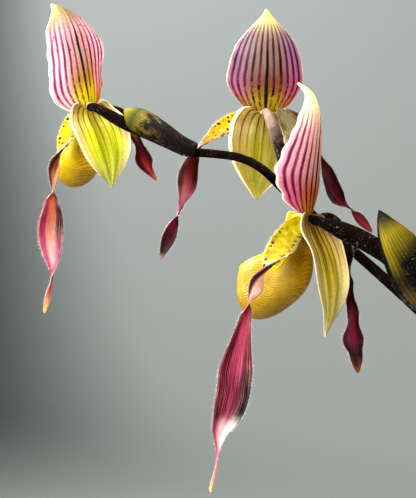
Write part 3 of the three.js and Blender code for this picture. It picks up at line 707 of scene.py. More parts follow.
@dataclass(frozen=True)
class BractTissue(Finish):
    """Sheath of a node: leafy tissue, olive with dark veins and brown mottles, dry and dark along its edges."""

    ground: Stops
    blotch: int
    blotch_strength: Stops
    edge: int
    edge_from: float = 0.8
    veins: float = 8.0
    vein_strength: float = 0.4
    painted_shade_side: Stops = ((0, 0.0),)

    roughness = 0.6
    relief_mm = 0.25
    glow = 0.35
    gloss = 0.25

    def pattern(self, tree: NodeTree, spot: NodeSocket) -> Pattern:
        """Draws the ground, its veins, blotches, painted shade down one side and the dark edge."""
        across, along, away = across_and_along(tree, spot, 0.08)
        tables = (self.ground, self.blotch_strength, self.painted_shade_side)
        colour, strength, painted_shade_side = (add(tree, "ValToRGB", {"stops": stops}, along) for stops in tables)
        line = add(tree, "Math", COSINE, add(tree, "Math", TIMES, across, TURN * self.veins))
        line = add(tree, "MapRange", SMOOTH, line, 0.2, 1.0, 0.0, self.vein_strength)
        colour = add(tree, "Mix", RGBA, line, colour, linear(self.blotch))
        mottle = add(tree, "Math", PLUS, add(tree, "TexNoise", {}, spot, 1 / (4 * MM), 3.0), strength)
        colour = lay(tree, colour, self.blotch, mottle, 0.85, 1.1)
        # Painted shade: one side is darkened as far as its table along the sheath asks.
        colour = lay(tree, colour, self.blotch, across, -0.7, -0.4, painted_shade_side)
        return lay(tree, colour, self.edge, away, self.edge_from, self.edge_from + 0.12), line


@dataclass(frozen=True)
class LeafBlade(Finish):
    """Strap leaf of a slipper orchid: thick, deep green, polished, with a pale line along the groove of its midrib."""

    upper: int = 0x2C4A1E
    lighter: int = 0x46692B
    base: int = 0x8F9A5A
    vein: int = 0x1B3212
    midrib: int = 0x6F8B41
    veins: int = 13

    roughness = 0.32
    relief_mm = 0.2
    glow = 0.1

    def pattern(self, tree: NodeTree, spot: NodeSocket) -> Pattern:
        """Draws the green, its fine veins, the midrib and the pale sheath at the base."""
        across, along, away = across_and_along(tree, spot, 0.03)
        mottle = add(tree, "TexNoise", {}, spot, 1 / (14 * MM), 4.0)
        colour = add(tree, "ValToRGB", {"stops": ((0.35, self.upper), (0.7, self.lighter))}, mottle)
        # Parallel veins a little over a millimetre apart on a leaf 32 mm wide.
        line = add(tree, "Math", COSINE, add(tree, "Math", TIMES, across, TURN * self.veins))
        line = add(tree, "MapRange", SMOOTH, line, 0.4, 1.0, 0.0, 0.16)
        colour = add(tree, "Mix", RGBA, line, colour, linear(self.vein))
        colour = lay(tree, colour, self.midrib, away, 0.05, 0.015, 0.6)
        return lay(tree, colour, self.base, along, 0.26, 0.05), line


@dataclass(frozen=True)
class FiredClay(Finish):
    """Plain terracotta, thrown and fired unglazed: matt, with lime that has bloomed near the rim and the foot."""

    body: int = 0xA9633F
    pale: int = 0xC08562
    lime: int = 0xD9C8B4
    height_mm: float = 110.0
    ring_mm: float = 2.6
    bloom: Stops = ((0, 0.75), (0.18, 0.3), (0.45, 0.05), (0.75, 0.2), (0.95, 0.6), (1, 0.7))

    roughness = 0.88
    relief_mm = 0.35

    def pattern(self, tree: NodeTree, spot: NodeSocket) -> Pattern:
        """Draws the fired body, the lime bloom and the rings left by throwing."""
        mottle = add(tree, "TexNoise", {}, spot, 1 / (22 * MM), 6.0)
        colour = add(tree, "ValToRGB", {"stops": ((0.3, self.body), (0.75, self.pale))}, mottle)
        height = add(tree, "SeparateXYZ", {}, spot).outputs[2]
        level = add(tree, "Math", OVER, height, self.height_mm * MM)
        level = add(tree, "ValToRGB", {"stops": self.bloom}, level)
        lime = add(tree, "Math", SCALED, level, 0.35, add(tree, "TexNoise", {}, spot, 1 / (9 * MM), 5.0))
        colour = lay(tree, colour, self.lime, lime, 0.58, 0.85, 0.75)
        rings = add(tree, "Math", SINE, add(tree, "Math", TIMES, height, TURN / (self.ring_mm * MM)))
        grit = add(tree, "TexNoise", {}, spot, 1 / (1.2 * MM), 3.0)
        return colour, add(tree, "Math", SCALED, rings, 0.25, grit)


@dataclass(frozen=True)
class FirBark(Finish):
    """Composted fir bark: brown cork, rough and split in layers, darker where it is damp."""

    dark: int = 0x2E1D12
    mid: int = 0x5A3A22
    light: int = 0x8A6240

    roughness = 0.9
    relief_mm = 0.7

    def pattern(self, tree: NodeTree, spot: NodeSocket) -> Pattern:
        """Draws chips of different browns with layered cork across them."""
        chip = add(tree, "TexNoise", {}, spot, 1 / (10 * MM), 2.0)
        cork = add(tree, "TexNoise", {}, spot, 1 / (2 * MM), 6.0)
        stops = ((0.55, self.dark), (0.8, self.mid), (1, self.light))
        return add(tree, "ValToRGB", {"stops": stops}, add(tree, "Math", SCALED, cork, 0.6, chip)), cork


@dataclass(frozen=True)
class PlainTissue(Finish):
    """Small living parts of one kind of colour: hairs, warts, roots and the column, mottled a little."""

    dark: int
    light: int
    grain_mm: float = 2.0

    relief_mm = 0.12

    def pattern(self, tree: NodeTree, spot: NodeSocket) -> Pattern:
        """Draws one soft mottle between the two colours."""
        mottle = add(tree, "TexNoise", {}, spot, 1 / (self.grain_mm * MM), 3.0)
        return add(tree, "ValToRGB", {"stops": ((0.35, self.dark), (0.68, self.light))}, mottle), mottle


@dataclass(frozen=True)
class BackdropPaper(Finish):
    """Matt pale grey backdrop paper, with painted shade on its left and a darker painted floor round the plant."""

    shade: int
    painted_shade: int
    # colour of the painted shade on the floor round the plant
    floor: int
    painted_shade_to: float = -0.5
    painted_shade_from: float = 0.05

    roughness = 0.95
    relief_mm = 0.1

    def pattern(self, tree: NodeTree, spot: NodeSocket) -> Pattern:
        """Draws the grey with a faint paper tooth, the painted shade on the left and the darker painted floor."""
        tooth = add(tree, "TexNoise", {}, spot, 1 / (40 * MM), 2.0)
        # Painted shade: the paper darkens towards the left of the wall and of the floor, deepest low down.
        left = add(tree, "VectorMath", {"operation": "DOT_PRODUCT"}, spot, (1.0, 0.12, 0.22))
        place = add(tree, "SeparateXYZ", {}, spot)
        behind = add(tree, "MapRange", SMOOTH, place.outputs[1], 1.1, 1.8)
        colour = lay(tree, self.shade, self.painted_shade, left, self.painted_shade_from, self.painted_shade_to, behind)
        # Painted shade: the floor round the plant is darker, toning down the pool of lamp light on it.
        reach = add(tree, "VectorMath", {"operation": "LENGTH"}, spot)
        return lay(tree, colour, self.floor, reach, 1.35, 0.7), tooth


# --- Repeated small shapes ---


class Small(Enum):
    """The small shapes that are repeated over a surface or along an edge."""

    HAIR = "hair"
    WART = "wart"
    CHIP = "chip"


@dataclass(frozen=True)
class Scatter:
    """Repeats a small shape, either over a surface or at given points, each standing along its own direction."""

    shape: Small
    length: float
    radius: float
    density: float = 0.0
    lean: float = 0.3
    smallest: float = 0.6
    seed: int = 3

    def values(self) -> dict[str, float | int]:
        """The tree's named inputs with their values, in metres."""
        return {
            "Length": self.length * MM,
            "Radius": self.radius * MM,
            "Density": self.density / MM**2,
            "Lean": self.lean,
            "Smallest": self.smallest,
            "Seed": self.seed,
        }

    def small_shape(self, tree: NodeTree, length: NodeSocket, radius: NodeSocket) -> Node:
        """Adds the nodes of the one small shape.

        Args:
            tree: The tree of geometry nodes.
            length: The tree's input for its length.
            radius: The tree's input for its radius.

        Returns:
            The node that gives the shape, of a few dozen faces at most.
        """
        if self.shape is Small.HAIR:
            sizes = {"Vertices": 3, "Radius Top": 0.0, "Radius Bottom": radius, "Depth": length}
            return add(tree, "GeometryNodeMeshCone", {}, sizes)
        if self.shape is Small.WART:
            return add(tree, "GeometryNodeSetShadeSmooth", {}, add(tree, "GeometryNodeMeshIcoSphere", {}, radius, 2))
        size = add(tree, "CombineXYZ", {}, length, radius, radius)
        block = add(tree, "GeometryNodeMeshCube", {}, add(tree, "VectorMath", TIMES, size, (1.0, 1.5, 0.5)), 4, 3, 2)
        # A noise four millimetres across moves each corner by up to three.
        rough = add(tree, "TexNoise", {}, {"Scale": 1 / (4 * MM), "Detail": 1.0}).outputs["Color"]
        rough = add(tree, "VectorMath", MINUS, rough, (0.5, 0.5, 0.5))
        rough = add(tree, "VectorMath", STRETCH, rough, 6 * MM)
        return add(tree, "GeometryNodeSetPosition", {}, {"Geometry": block, "Offset": rough})

    def tree(self, name: str, material: Material) -> NodeTree:
        """Builds the tree of geometry nodes.

        Args:
            name: The tree's name.
            material: What the small shapes are made of.

        Returns:
            The tree, which ends in Realize Instances and Set Material.
        """
        tree = bpy.data.node_groups.new(name, "GeometryNodeTree")
        tree.interface.new_socket("Geometry", in_out="INPUT", socket_type="NodeSocketGeometry")
        for label, value in self.values().items():
            kind = "NodeSocketInt" if isinstance(value, int) else "NodeSocketFloat"
            tree.interface.new_socket(label, in_out="INPUT", socket_type=kind)
        tree.interface.new_socket("Geometry", in_out="OUTPUT", socket_type="NodeSocketGeometry")
        given = add(tree, "NodeGroupInput", {}).outputs
        seed = given["Seed"]
        if self.density:
            where = {"Mesh": given["Geometry"], "Density": given["Density"], "Seed": seed}
            points = add(tree, "GeometryNodeDistributePointsOnFaces", {}, where)
            out = points.outputs["Normal"]
        else:
            points = add(tree, "GeometryNodeMeshToPoints", {}, {"Mesh": given["Geometry"]})
            out = add(tree, "GeometryNodeInputNamedAttribute", VECTORS, {"Name": OUTWARD})
        spread = {"Min": (-1.0, -1.0, -1.0), "Max": (1.0, 1.0, 1.0), "Seed": seed}
        lean = add(tree, "VectorMath", STRETCH, add(tree, "FunctionNodeRandomValue", VECTORS, spread), given["Lean"])
        out = add(tree, "VectorMath", PLUS, out, lean)
        sizes = {"Min": given["Smallest"], "Max": 1.0, "Seed": seed}
        copies = {
            "Points": points.outputs[0],
            "Instance": self.small_shape(tree, given["Length"], given["Radius"]),
            "Rotation": add(tree, "FunctionNodeAlignRotationToVector", {"axis": "Z"}, {"Vector": out}),
            "Scale": add(tree, "FunctionNodeRandomValue", {"data_type": "FLOAT"}, sizes),
        }
        whole = add(tree, "GeometryNodeRealizeInstances", {}, add(tree, "GeometryNodeInstanceOnPoints", {}, copies))
        done = add(tree, "GeometryNodeSetMaterial", {}, {"Geometry": whole, "Material": material})
        add(tree, "NodeGroupOutput", {}, done)
        return tree

    def grow(self, name: str, source: Mesh, material: Material) -> Mesh:
        """Grows the small shapes from a mesh.

        Args:
            name: The new mesh's name.
            source: The surface, or the points with their directions.
            material: What the small shapes are made of.

        Returns:
            A plain mesh of all the small shapes.
        """
        carrier = placed(name + "_carrier", source)
        modifier = carrier.modifiers.new(name, "NODES")
        modifier.node_group = self.tree(name, material)
        values = self.values()
        for item in modifier.node_group.interface.items_tree:
            if item.in_out == "INPUT" and item.name in values:
                modifier[item.identifier] = values[item.name]
        return baked(carrier, name)


@dataclass(frozen=True)
class Fringe:
    """Small shapes that stand along both margins of some blades."""

    scatter: Scatter
    spacing: float
    start: float
    end: float
    inset: int = 0
    jitter: float = 0.4
    seed: int = 11

    def points(self, name: str, blades: Sequence[Array]) -> Mesh:
        """Points along the margins, each with the direction outwards.

        Args:
            name: The mesh's name.
            blades: Middle points of the blades, by place along and place across.

        Returns:
            A mesh of loose points with the outward direction of each as an attribute.
        """
        draw = np.random.default_rng(self.seed)
        spots, ways = [], []
        kept = [blade[:, self.inset : blade.shape[1] - self.inset] for blade in blades]
        for grid in (side for blade in kept for side in (blade, blade[:, ::-1])):
            edge = grid[:, -1]
            out = unit(edge - grid[:, -2])
            walked = np.concatenate([[0.0], np.cumsum(np.linalg.norm(np.diff(edge, axis=0), axis=1))])
            at = np.arange(self.start * walked[-1], self.end * walked[-1], self.spacing)
            at = at + draw.uniform(-self.jitter, self.jitter, len(at)) * self.spacing
            for found, values in ((spots, edge), (ways, out)):
                found.append(np.stack([np.interp(at, walked, values[:, k]) for k in range(3)], -1))
        mesh = bpy.data.meshes.new(name)
        mesh.from_pydata((np.concatenate(spots) * MM).tolist(), [], [])
        layer = mesh.attributes.new(OUTWARD, "FLOAT_VECTOR", "POINT")
        layer.data.foreach_set("vector", unit(np.concatenate(ways)).ravel())
        return mesh

    def build(self, name: str, blades: Sequence[Array], slot: str, material: Material) -> None:
        """Grows the small shapes along the margins and shows them."""
        show(self.scatter.grow(name, self.points(name + "_edge", blades), material))


# --- The flowers ---


def blunted(t: Array, base: float, base_until: float, tip_from: float) -> Array:
    """Narrows a blade's half width to a rounded base and a fine tip.

    Args:
        t: Places along the blade.
        base: Share of the width left at the very base.
        base_until: Where the full width is reached.
        tip_from: Where the tip starts to close.

    Returns:
        The share of the width at each place.
    """
    rise = np.clip(t / base_until, 0, 1)
    foot = base + (1 - base) * np.sqrt(1 - (1 - rise) ** 2)
    close = np.clip((t - tip_from) / (1 - tip_from), 0, 1)
    return foot * np.sqrt(np.maximum(1 - close**2, 0.02))


@dataclass(frozen=True)
class Sepal(ABC):
    """A sepal, a blade that stands in the bloom's upright plane.

    Its rows hold y, z, half width and arc, then the half width and arc of its other side where they differ.
    """

    name: str
    rows: Rows
    turn: Turn
    centre: Point
    material: Material
    slot: str
    base_share: float
    base_drop: float = 0.0
    body: float = 0.8
    margin: float = 0.32
    rib: float = 0.7
    rib_width: float = 0.035
    steps: int = 100
    columns: int = 57

    @abstractmethod
    def relief(self, t: Array, v: Array) -> Array:
        """How far each point stands off the arc, by place along and place across."""

    def point_at(self, place: Array) -> Array:
        """The midrib at places along it."""
        row = rows_at(self.rows, place)
        start_y, start_z = self.rows[0][:2]
        y = start_y + (row[:, 0] - start_y) * self.turn.bend
        return points_of(0.0, y, start_z + (row[:, 1] - start_z) * self.turn.length)

    def grid(self, t: Array, v: Array) -> Array:
        """Middle of the blade's thickness, by place along and place across."""
        place = t[:, 0]
        table = rows_at(self.rows, place)
        share = self.turn.width * blunted(place, self.base_share, 0.05, 0.97)
        side = np.tile([1.0, 0.0, 0.0], (self.steps, 1))
        rest = (v, self.relief(t, v), tangents(self.point_at, place))
        near = arc_grid(self.point_at(place), side, table[:, 2] * share * self.turn.slim, table[:, 3], *rest)
        # The last two columns are those of the other side, or the same ones.
        other = arc_grid(self.point_at(place), side, table[:, -2] * share, table[:, -1], *rest)
        points = np.where(v[..., None] < 0, near, other)
        points[..., 2] += (self.turn.lift + self.turn.skew * v) * v**2 * (2 - v**2) * (1 - t) ** 4
        points[..., 2] -= self.base_drop * (1 - t) ** 12
        return self.turn.place(points, self.centre)

    def build(self) -> Array:
        """Makes the sepal, thin at its margins and thicker along its midrib, and shows it.

        Returns:
            The grid of its middle, from which its fine hairs grow.
        """
        t, v = along_and_across(self.steps, self.columns)
        grid = self.grid(t, v)
        rib = self.rib * bell(v, self.rib_width) * (1 - 0.6 * t)
        blade = blade_mesh(self.name + "_blade", grid, self.margin, self.body, rib)
        show(blade, self.material, [self.name])
        return grid


@dataclass(frozen=True)
class DorsalSepal(Sepal):
    """The tall hooded sepal above the bloom."""

    slot: str = "sepal"
    base_share: float = 0.8
    base_drop: float = 1.6
    waves: float = 3.2
    ruffle: float = 0.7
    ruffles: float = 8.3

    def relief(self, t: Array, v: Array) -> Array:
        """A gentle wave along the margins, and a finer ruffle at their very edge."""
        wave = self.turn.wave * np.abs(v) ** 3 * ripple(t, self.waves, self.turn.phase + v)
        return (wave + self.ruffle * np.abs(v) ** 7 * ripple(t, self.ruffles, 2 * v)) * (1 - t)


@dataclass(frozen=True)
class Synsepal(Sepal):
    """The broad blade of the two lower sepals grown together, with two keels on its back."""

    slot: str = "synsepal"
    base_share: float = 0.7
    base_drop: float = -1.0
    wave: float = 1.1
    waves: float = 2.3
    keel: float = 0.8
    keel_place: float = 0.28
    keel_spread: float = 0.14

    def relief(self, t: Array, v: Array) -> Array:
        """A wave along the margins and the two keels."""
        wave = np.abs(v) ** 3 * ripple(t, self.waves, self.turn.phase + v)
        keel = bell(np.abs(v) - self.keel_place, self.keel_spread)
        return self.wave * wave * (1 - t) + self.keel * keel * np.sin(np.pi * t)


def ribbon_grid(rows: Rows, t: Array, v: Array, half_share: Array, relief: Array) -> Array:
    """Middle of a ribbon whose rows hold x, y, z, half width, roll and arc.

    Args:
        rows: The rows.
        t: Places along it, as a column.
        v: Places across it, as a row.
        half_share: Share of the half width at each place along, as a column.
        relief: How far each point stands off its arc.

    Returns:
        Points by place along and place across.
    """
    table = rows_at(rows, t[:, 0])
    along = tangents(lambda place: rows_at(rows, place)[:, :3], t[:, 0])
    flat = unit(points_of(-along[:, 2], 0.0, along[:, 0]))
    roll = np.radians(table[:, 4])[:, None]
    side = flat * np.cos(roll) + np.cross(along, flat) * np.sin(roll)
    return arc_grid(table[:, :3], side, table[:, 3] * half_share[:, 0], table[:, 5], v, relief, along)


@dataclass(frozen=True)
class Petal:
    """A long twisted petal. Its rows hold x, y, z from the bloom's middle, half width and roll."""

    name: str
    rows: Rows
    centre: Point
    phase: float
    material: Material
    arc: float = 22.0
    wave: float = 0.8
    waves: float = 5.0
    crimp: float = 0.22
    crimps: float = 17.0
    body: float = 0.75
    margin: float = 0.3
    steps: int = 230
    columns: int = 17

    def build(self) -> Array:
        """Makes the petal and shows it.

        Returns:
            The grid of its middle, from which its hairs and warts grow.
        """
        t, v = along_and_across(self.steps, self.columns)
        rows = [(*np.add(row[:3], self.centre), row[3], row[4], self.arc) for row in self.rows]
        wave = ripple(t, self.waves, self.phase) * np.sin(np.pi * t) * self.wave
        crimp = self.crimp * ripple(t, self.crimps, 2 * self.phase) * np.sin(np.pi * t)
        grid = ribbon_grid(rows, t, v, blunted(t, 0.8, 0.02, 0.985), wave * v**3 + crimp * v**4)
        blade = blade_mesh(self.name + "_blade", grid, self.margin, self.body)
        show(blade, self.material, [self.name])
        return grid


@dataclass(frozen=True)
class Pouch:
    """The pouch of a bloom, an open slipper. Its rows hold z, middle, half width and half depth."""

    name: str
    turn: Turn
    centre: Point
    material: Material
    rows: Rows = (
        (-43, 25.6, 12, 12), (-38, 23, 12, 12.6), (-34, 21.1, 11.4, 14.6), (-30, 19.4, 11.2, 16.4),
        (-25.6, 17.9, 11.4, 17.6), (-20.7, 16.4, 11.8, 17), (-17, 14.2, 11.6, 14.6), (-14, 10.4, 10.6, 10.6),
        (-11, 8, 9.6, 7.6), (-8, 6.6, 8.4, 5.2), (-5.5, 5.8, 6.8, 3.8), (-3.3, 5.4, 5.4, 3), (-2, 5.1, 4.4, 2.6),
    )
    rim: Rows = (
        (0, -21.5), (30, -20.5), (60, -16.5), (80, -13.6), (100, -16), (120, -20), (132, -15), (145, -8.5),
        (160, -3.7), (180, -2.7),
    )
    toe_bottom: float = -43.0
    toe_round_top: float = -30.0
    wall: float = 0.9
    lip: float = 0.7
    lip_width: float = 0.03
    lip_rise: float = 0.25
    steps: int = 34
    sides: int = 72

    def wall_points(self, height: Array, angle: Array, inset: Array) -> Array:
        """Points of the wall, inset from its outside."""
        middle, width, depth = np.moveaxis(smooth_table(self.rows, height), -1, 0)
        below = np.maximum(0, (self.toe_round_top - height) / (self.toe_round_top - self.toe_bottom))
        rounded = np.sqrt(np.maximum(0, 1 - below**2))
        x = -np.maximum(width * rounded - inset, 0.02) * np.sin(angle)
        y = middle + np.maximum(depth * rounded - inset, 0.02) * np.cos(angle)
        return points_of(x, y, height)

    def build(self) -> None:
        """Makes the outside, the rolled rim and the inside as one closed wall, and shows it."""
        angle = circle(self.sides)[None, :]
        rim = smooth_table(self.rim, np.degrees(np.minimum(angle, 2 * np.pi - angle)))[..., 0]
        share = (1 - np.cos(np.pi * np.arange(self.steps + 1) / (2 * self.steps)))[:, None]
        flare = self.lip * bell(1 - share, self.lip_width)
        outer, inner = (
            self.wall_points(start + (rim - start) * share, angle, wall - flare)
            for start, wall in ((self.toe_bottom, 0.0), (self.toe_bottom + self.wall, self.wall))
        )
        lip = (outer[-1:] + inner[-1:]) / 2 + np.array([0, 0, self.lip_rise])
        rings = np.concatenate([outer, lip, inner[::-1]])
        rings[0], rings[-1] = rings[0].mean(axis=0), rings[-1].mean(axis=0)
        along = np.concatenate([share[:, 0], [1.0], share[::-1, 0]])
        points = self.turn.place(rings * self.turn.scale, self.centre)
        show(ring_mesh(self.name + "_wall", points, along), self.material, [self.name])


def ball(sides: int, rings: int) -> tuple[Array, Array]:
    """Angles round a ball as a row, and those from its foot to its top as a column."""
    return circle(sides)[None, :], np.linspace(-np.pi / 2, np.pi / 2, rings)[:, None]


@dataclass(frozen=True)
class Column:
    """The short stump in the middle of a bloom, the shield that it carries and the knob from which both rise."""

    name: str
    turn: Turn
    centre: Point
    rows: Rows = ((0, 2.75, 0, 1.9), (0, 5.375, 0.4, 1.71), (0, 8, -0.4, 1.52))
    shield_size: Point = (4.2, 1.1, 4.6)
    shield_place: Point = (0.0, 8.2, -1.0)
    notch: float = 0.16
    groove: float = 0.5
    hub_size: Point = (2.5, 2.9, 2.3)
    hub_place: Point = (0.0, 0.6, 0.2)

    def rings(self, name: str, points: Array) -> Mesh:
        """A closed body from rings of points of the bloom's own frame."""
        return ring_mesh(self.name + name, self.turn.place(points, self.centre))

    def build(self, wax: Material) -> None:
        """Makes the stump and the shield, heart-shaped with a groove down its face, and shows them as one piece."""
        table = rows_at(self.rows, np.linspace(0, 1, 14))
        stump = tube_rings(table[:, :3], np.tile(table[:, 3:], (1, 24)), (0, 0, 1))
        around, rise = ball(40, 21)
        across, up = np.cos(rise) * np.sin(around), np.cos(rise) * np.cos(around)
        notch = 1 - self.notch * bell(across, 0.3) * np.maximum(up, 0) ** 2
        groove = self.groove * bell(across, 0.2) * np.maximum(np.sin(rise), 0)
        wide, deep, high = self.shield_size
        shield = points_of(wide * across, deep * (np.sin(rise) - groove), high * up * notch) + self.shield_place
        meshes = [self.rings("_column_stump", stump), self.rings("_column_shield", shield)]
        show(joined(self.name + "_column_body", meshes), wax, [self.name + "_column"])

    def build_hub(self, skin: Material) -> None:
        """Makes the knob at the ovary's tip where the sepals and petals are joined, and shows it."""
        around, rise = ball(30, 17)
        wide, deep, high = self.hub_size
        swell = 1 - 0.1 * np.cos(3 * around) * np.cos(rise)
        across, up = (size * swell * np.cos(rise) for size in (wide, high))
        points = points_of(across * np.cos(around), deep * np.sin(rise), up * np.sin(around)) + self.hub_place
        show(self.rings("_hub", points), skin)


@dataclass(frozen=True)
class FlowerStem:
    """The peduncle, the rachis and the three stalks with their ribbed ovaries. Rows hold x, y, z and radius."""

    material: Material
    hair: Material
    stem: Rows = (
        (0, 0, 92.05, 2.9), (0, 0, 140, 2.9), (-2, 0, 190, 2.8), (-8, 0, 245, 2.7), (-20, 2, 290, 2.6),
        (-38, 5, 325, 2.5), (-57, 9, 352, 2.45), (-75.4, 14, 372.9, 2.6), (-92.1, 22, 389.1, 2.3),
        (-106.1, 30, 402.4, 2.2), (-118.3, 38, 414, 2.15), (-131.9, 46, 427.3, 2.3), (-143.4, 50, 438.4, 2),
        (-153.4, 52, 443.6, 1.95), (-164.8, 54, 445.6, 1.95), (-178.6, 54, 446.5, 2.1),
    )
    ovaries: Sequence[Rows] = (
        (
            (-226, 77.7, 470.1, 1.9), (-225, 76, 470.1, 1.9), (-219.5, 68, 468, 2.2), (-208, 59.5, 461, 2.9),
            (-193, 55, 454, 2.9), (-178.6, 54, 446.5, 2.1),
        ),
        (
            (-139.4, 103, 470.4, 1.9), (-139.3, 101, 470.4, 1.9), (-138.8, 91, 469, 2.2),
            (-136.5, 76, 460, 2.9), (-133.5, 60, 445, 2.8), (-131.9, 46, 427.3, 2.3),
        ),
        (
            (-128.1, 7.3, 414.8, 1.9), (-126.6, 6, 414.8, 1.9), (-122.1, 1.5, 413.1, 2.1),
            (-114.2, -7, 409.4, 3.6), (-104.5, -10.5, 404.5, 3.8), (-94, -9, 397, 3.5), (-83.5, 2, 383.5, 2.8),
            (-75.4, 14, 372.9, 2.4),
        ),
    )
    rib_depth: float = 0.09
    ribs: int = 6
    hairs: Scatter = Scatter(Small.HAIR, length=0.85, radius=0.04, density=0.9, lean=0.45, smallest=0.3)

    def build(self) -> None:
        """Makes the stem and the ovaries as one piece, grows their hairs, and shows both."""
        table = rows_at(self.stem, np.linspace(0, 1, 300))
        meshes = [ring_mesh("stem_part", tube_rings(table[:, :3], np.tile(table[:, 3:], (1, 20)), (0, 1, 0)))]
        t, around = np.linspace(0, 1, 90)[:, None], circle(36)[None, :]
        ribs = 1 - self.rib_depth * np.sin(np.pi * t) ** 2 * (0.5 + 0.5 * np.cos(self.ribs * around))
        for rows in self.ovaries:
            table = rows_at(rows, t[:, 0])
            meshes.append(ring_mesh("ovary_part", tube_rings(table[:, :3], table[:, 3:] * ribs, (0, 0, 1))))
        whole = joined("stem_and_ovaries", meshes)
        show(whole, self.material, ["flower_stem"])
        show(self.hairs.grow("stem_hairs", whole, self.hair))


@dataclass(frozen=True)
class Bract:
    """The sheath at a node. Its rows hold x, y, z, half width, roll and arc along its keel."""

    name: str
    rows: Rows
    material: Material
    hair: Material
    thickness: float = 0.7
    margin: float = 0.3
    keel: float = 0.3
    keel_width: float = 0.06
    wave: float = 0.25
    waves: float = 2.5
    steps: int = 56
    columns: int = 37
    hairs: Scatter = Scatter(Small.HAIR, length=0.7, radius=0.05, density=0.9, lean=0.5, seed=8)

    def build(self) -> None:
        """Makes the sheath with its keel and grows its short hairs, and shows both."""
        t, v = along_and_across(self.steps, self.columns)
        relief = self.wave * v**2 * ripple(t, self.waves, 1) * np.sin(np.pi * t)
        grid = ribbon_grid(self.rows, t, v, blunted(t, 0.75, 0.04, 0.94), relief)
        keel = self.keel * bell(v, self.keel_width)
        sheath = blade_mesh(self.name + "_sheath", grid, self.margin, self.thickness, keel)
        show(sheath, self.material, [self.name])
        show(self.hairs.grow(self.name + "_hairs", sheath, self.hair))


# --- The leaves ---


@dataclass(frozen=True)
class Crown:
    """Where a fan of leaves rises from the rootstock."""

    x: float
    y: float
    clasp: float


@dataclass(frozen=True)
class Leaf:
    """A channelled strap leaf that leaves the crown upright as a sheath, arches over and hangs at the tip."""

    name: str
    crown: Crown
    material: Material
    azimuth: float
    base: float
    reach: float
    rise: float
    half: float
    droop: float
    foot: float = 92.05
    neck: float = 11.0
    thickness: float = 1.1
    margin: float = 0.5
    groove: float = 0.7
    groove_width: float = 0.09
    wave: float = 0.5
    waves: float = 2.2
    steps: int = 90
    columns: int = 25

    def rows(self) -> Rows:
        """The leaf's rows of radius, height, half width and arc."""
        neck, arch = self.foot + self.neck, self.rise - self.neck
        sheath, clasp = self.base * math.radians(self.crown.clasp), self.crown.clasp
        return (
            (self.base, self.foot, sheath, clasp),
            (self.base + 0.2, neck, sheath + 0.3, clasp),
            (self.base + 0.035 * self.reach, neck + 0.26 * arch, (sheath + self.half) / 2, clasp * 0.75),
            (self.base + 0.15 * self.reach, neck + 0.6 * arch, self.half * 0.92, 38),
            (self.base + 0.33 * self.reach, neck + 0.88 * arch, self.half, 27),
            (self.base + 0.55 * self.reach, neck + arch, self.half * 0.98, 22),
            (self.base + 0.8 * self.reach, neck + arch * (1 - 0.4 * self.droop), self.half * 0.78, 20),
            (self.base + self.reach, neck + arch * (1 - self.droop), 1, 16),
        )

    def point_at(self, place: Array) -> Array:
        """The midrib at places along it."""
        row = rows_at(self.rows(), place)
        return points_of(row[:, 0], 0.0, row[:, 1])

    def build(self) -> None:
        """Makes the leaf with the groove of its midrib and shows it."""
        t, v = along_and_across(self.steps, self.columns)
        place = t[:, 0]
        table = rows_at(self.rows(), place)
        side = np.tile([0.0, 1.0, 0.0], (self.steps, 1))
        half = table[:, 2] * np.sqrt(np.maximum(1 - np.clip((place - 0.97) / 0.03, 0, 1) ** 2, 0.05))
        groove = -self.groove * bell(v, self.groove_width) * np.clip(t / 0.2, 0, 1)
        relief = groove + self.wave * v**2 * ripple(t, self.waves, self.azimuth) * np.sin(np.pi * t)
        along = tangents(self.point_at, place)
        grid = arc_grid(self.point_at(place), side, half, table[:, 3], v, relief, along)
        grid = grid @ rotation(self.azimuth, "Z").T + np.array([self.crown.x, self.crown.y, 0.0])
        strap = blade_mesh(self.name + "_strap", grid, self.margin, self.thickness)
        show(strap, self.material, [self.name])


# --- The pot and what fills it ---


def eased(outline: Rows, cut: float, samples: int) -> Array:
    """Rounds the corners of an outline.

    Args:
        outline: Its corners.
        cut: How far from a corner the rounding starts.
        samples: Points on each rounding.

    Returns:
        The points of the rounded outline.
    """
    corners = np.asarray(outline, float)
    points = [corners[:1]]
    for before, corner, after in zip(corners, corners[1:], corners[2:]):
        legs = [before - corner, after - corner]
        ends = [corner + unit(leg) * min(cut, np.linalg.norm(leg) * 0.45) for leg in legs]
        s = np.linspace(0, 1, samples)[:, None]
        points.append((1 - s) ** 2 * ends[0] + 2 * s * (1 - s) * corner + s**2 * ends[1])
    points.append(corners[-1:])
    return np.concatenate(points)


def round_points(radius: Array | float, angle: Array | float, height: Array | float) -> Array:
    """Points at distances and angles round the upright axis."""
    return points_of(radius * np.cos(angle), radius * np.sin(angle), height)


def turned(name: str, outline: Array, sides: int) -> Mesh:
    """A body turned about the upright axis from an outline of radius and height."""
    return ring_mesh(name, round_points(outline[:, :1], circle(sides)[None, :], outline[:, 1:]))


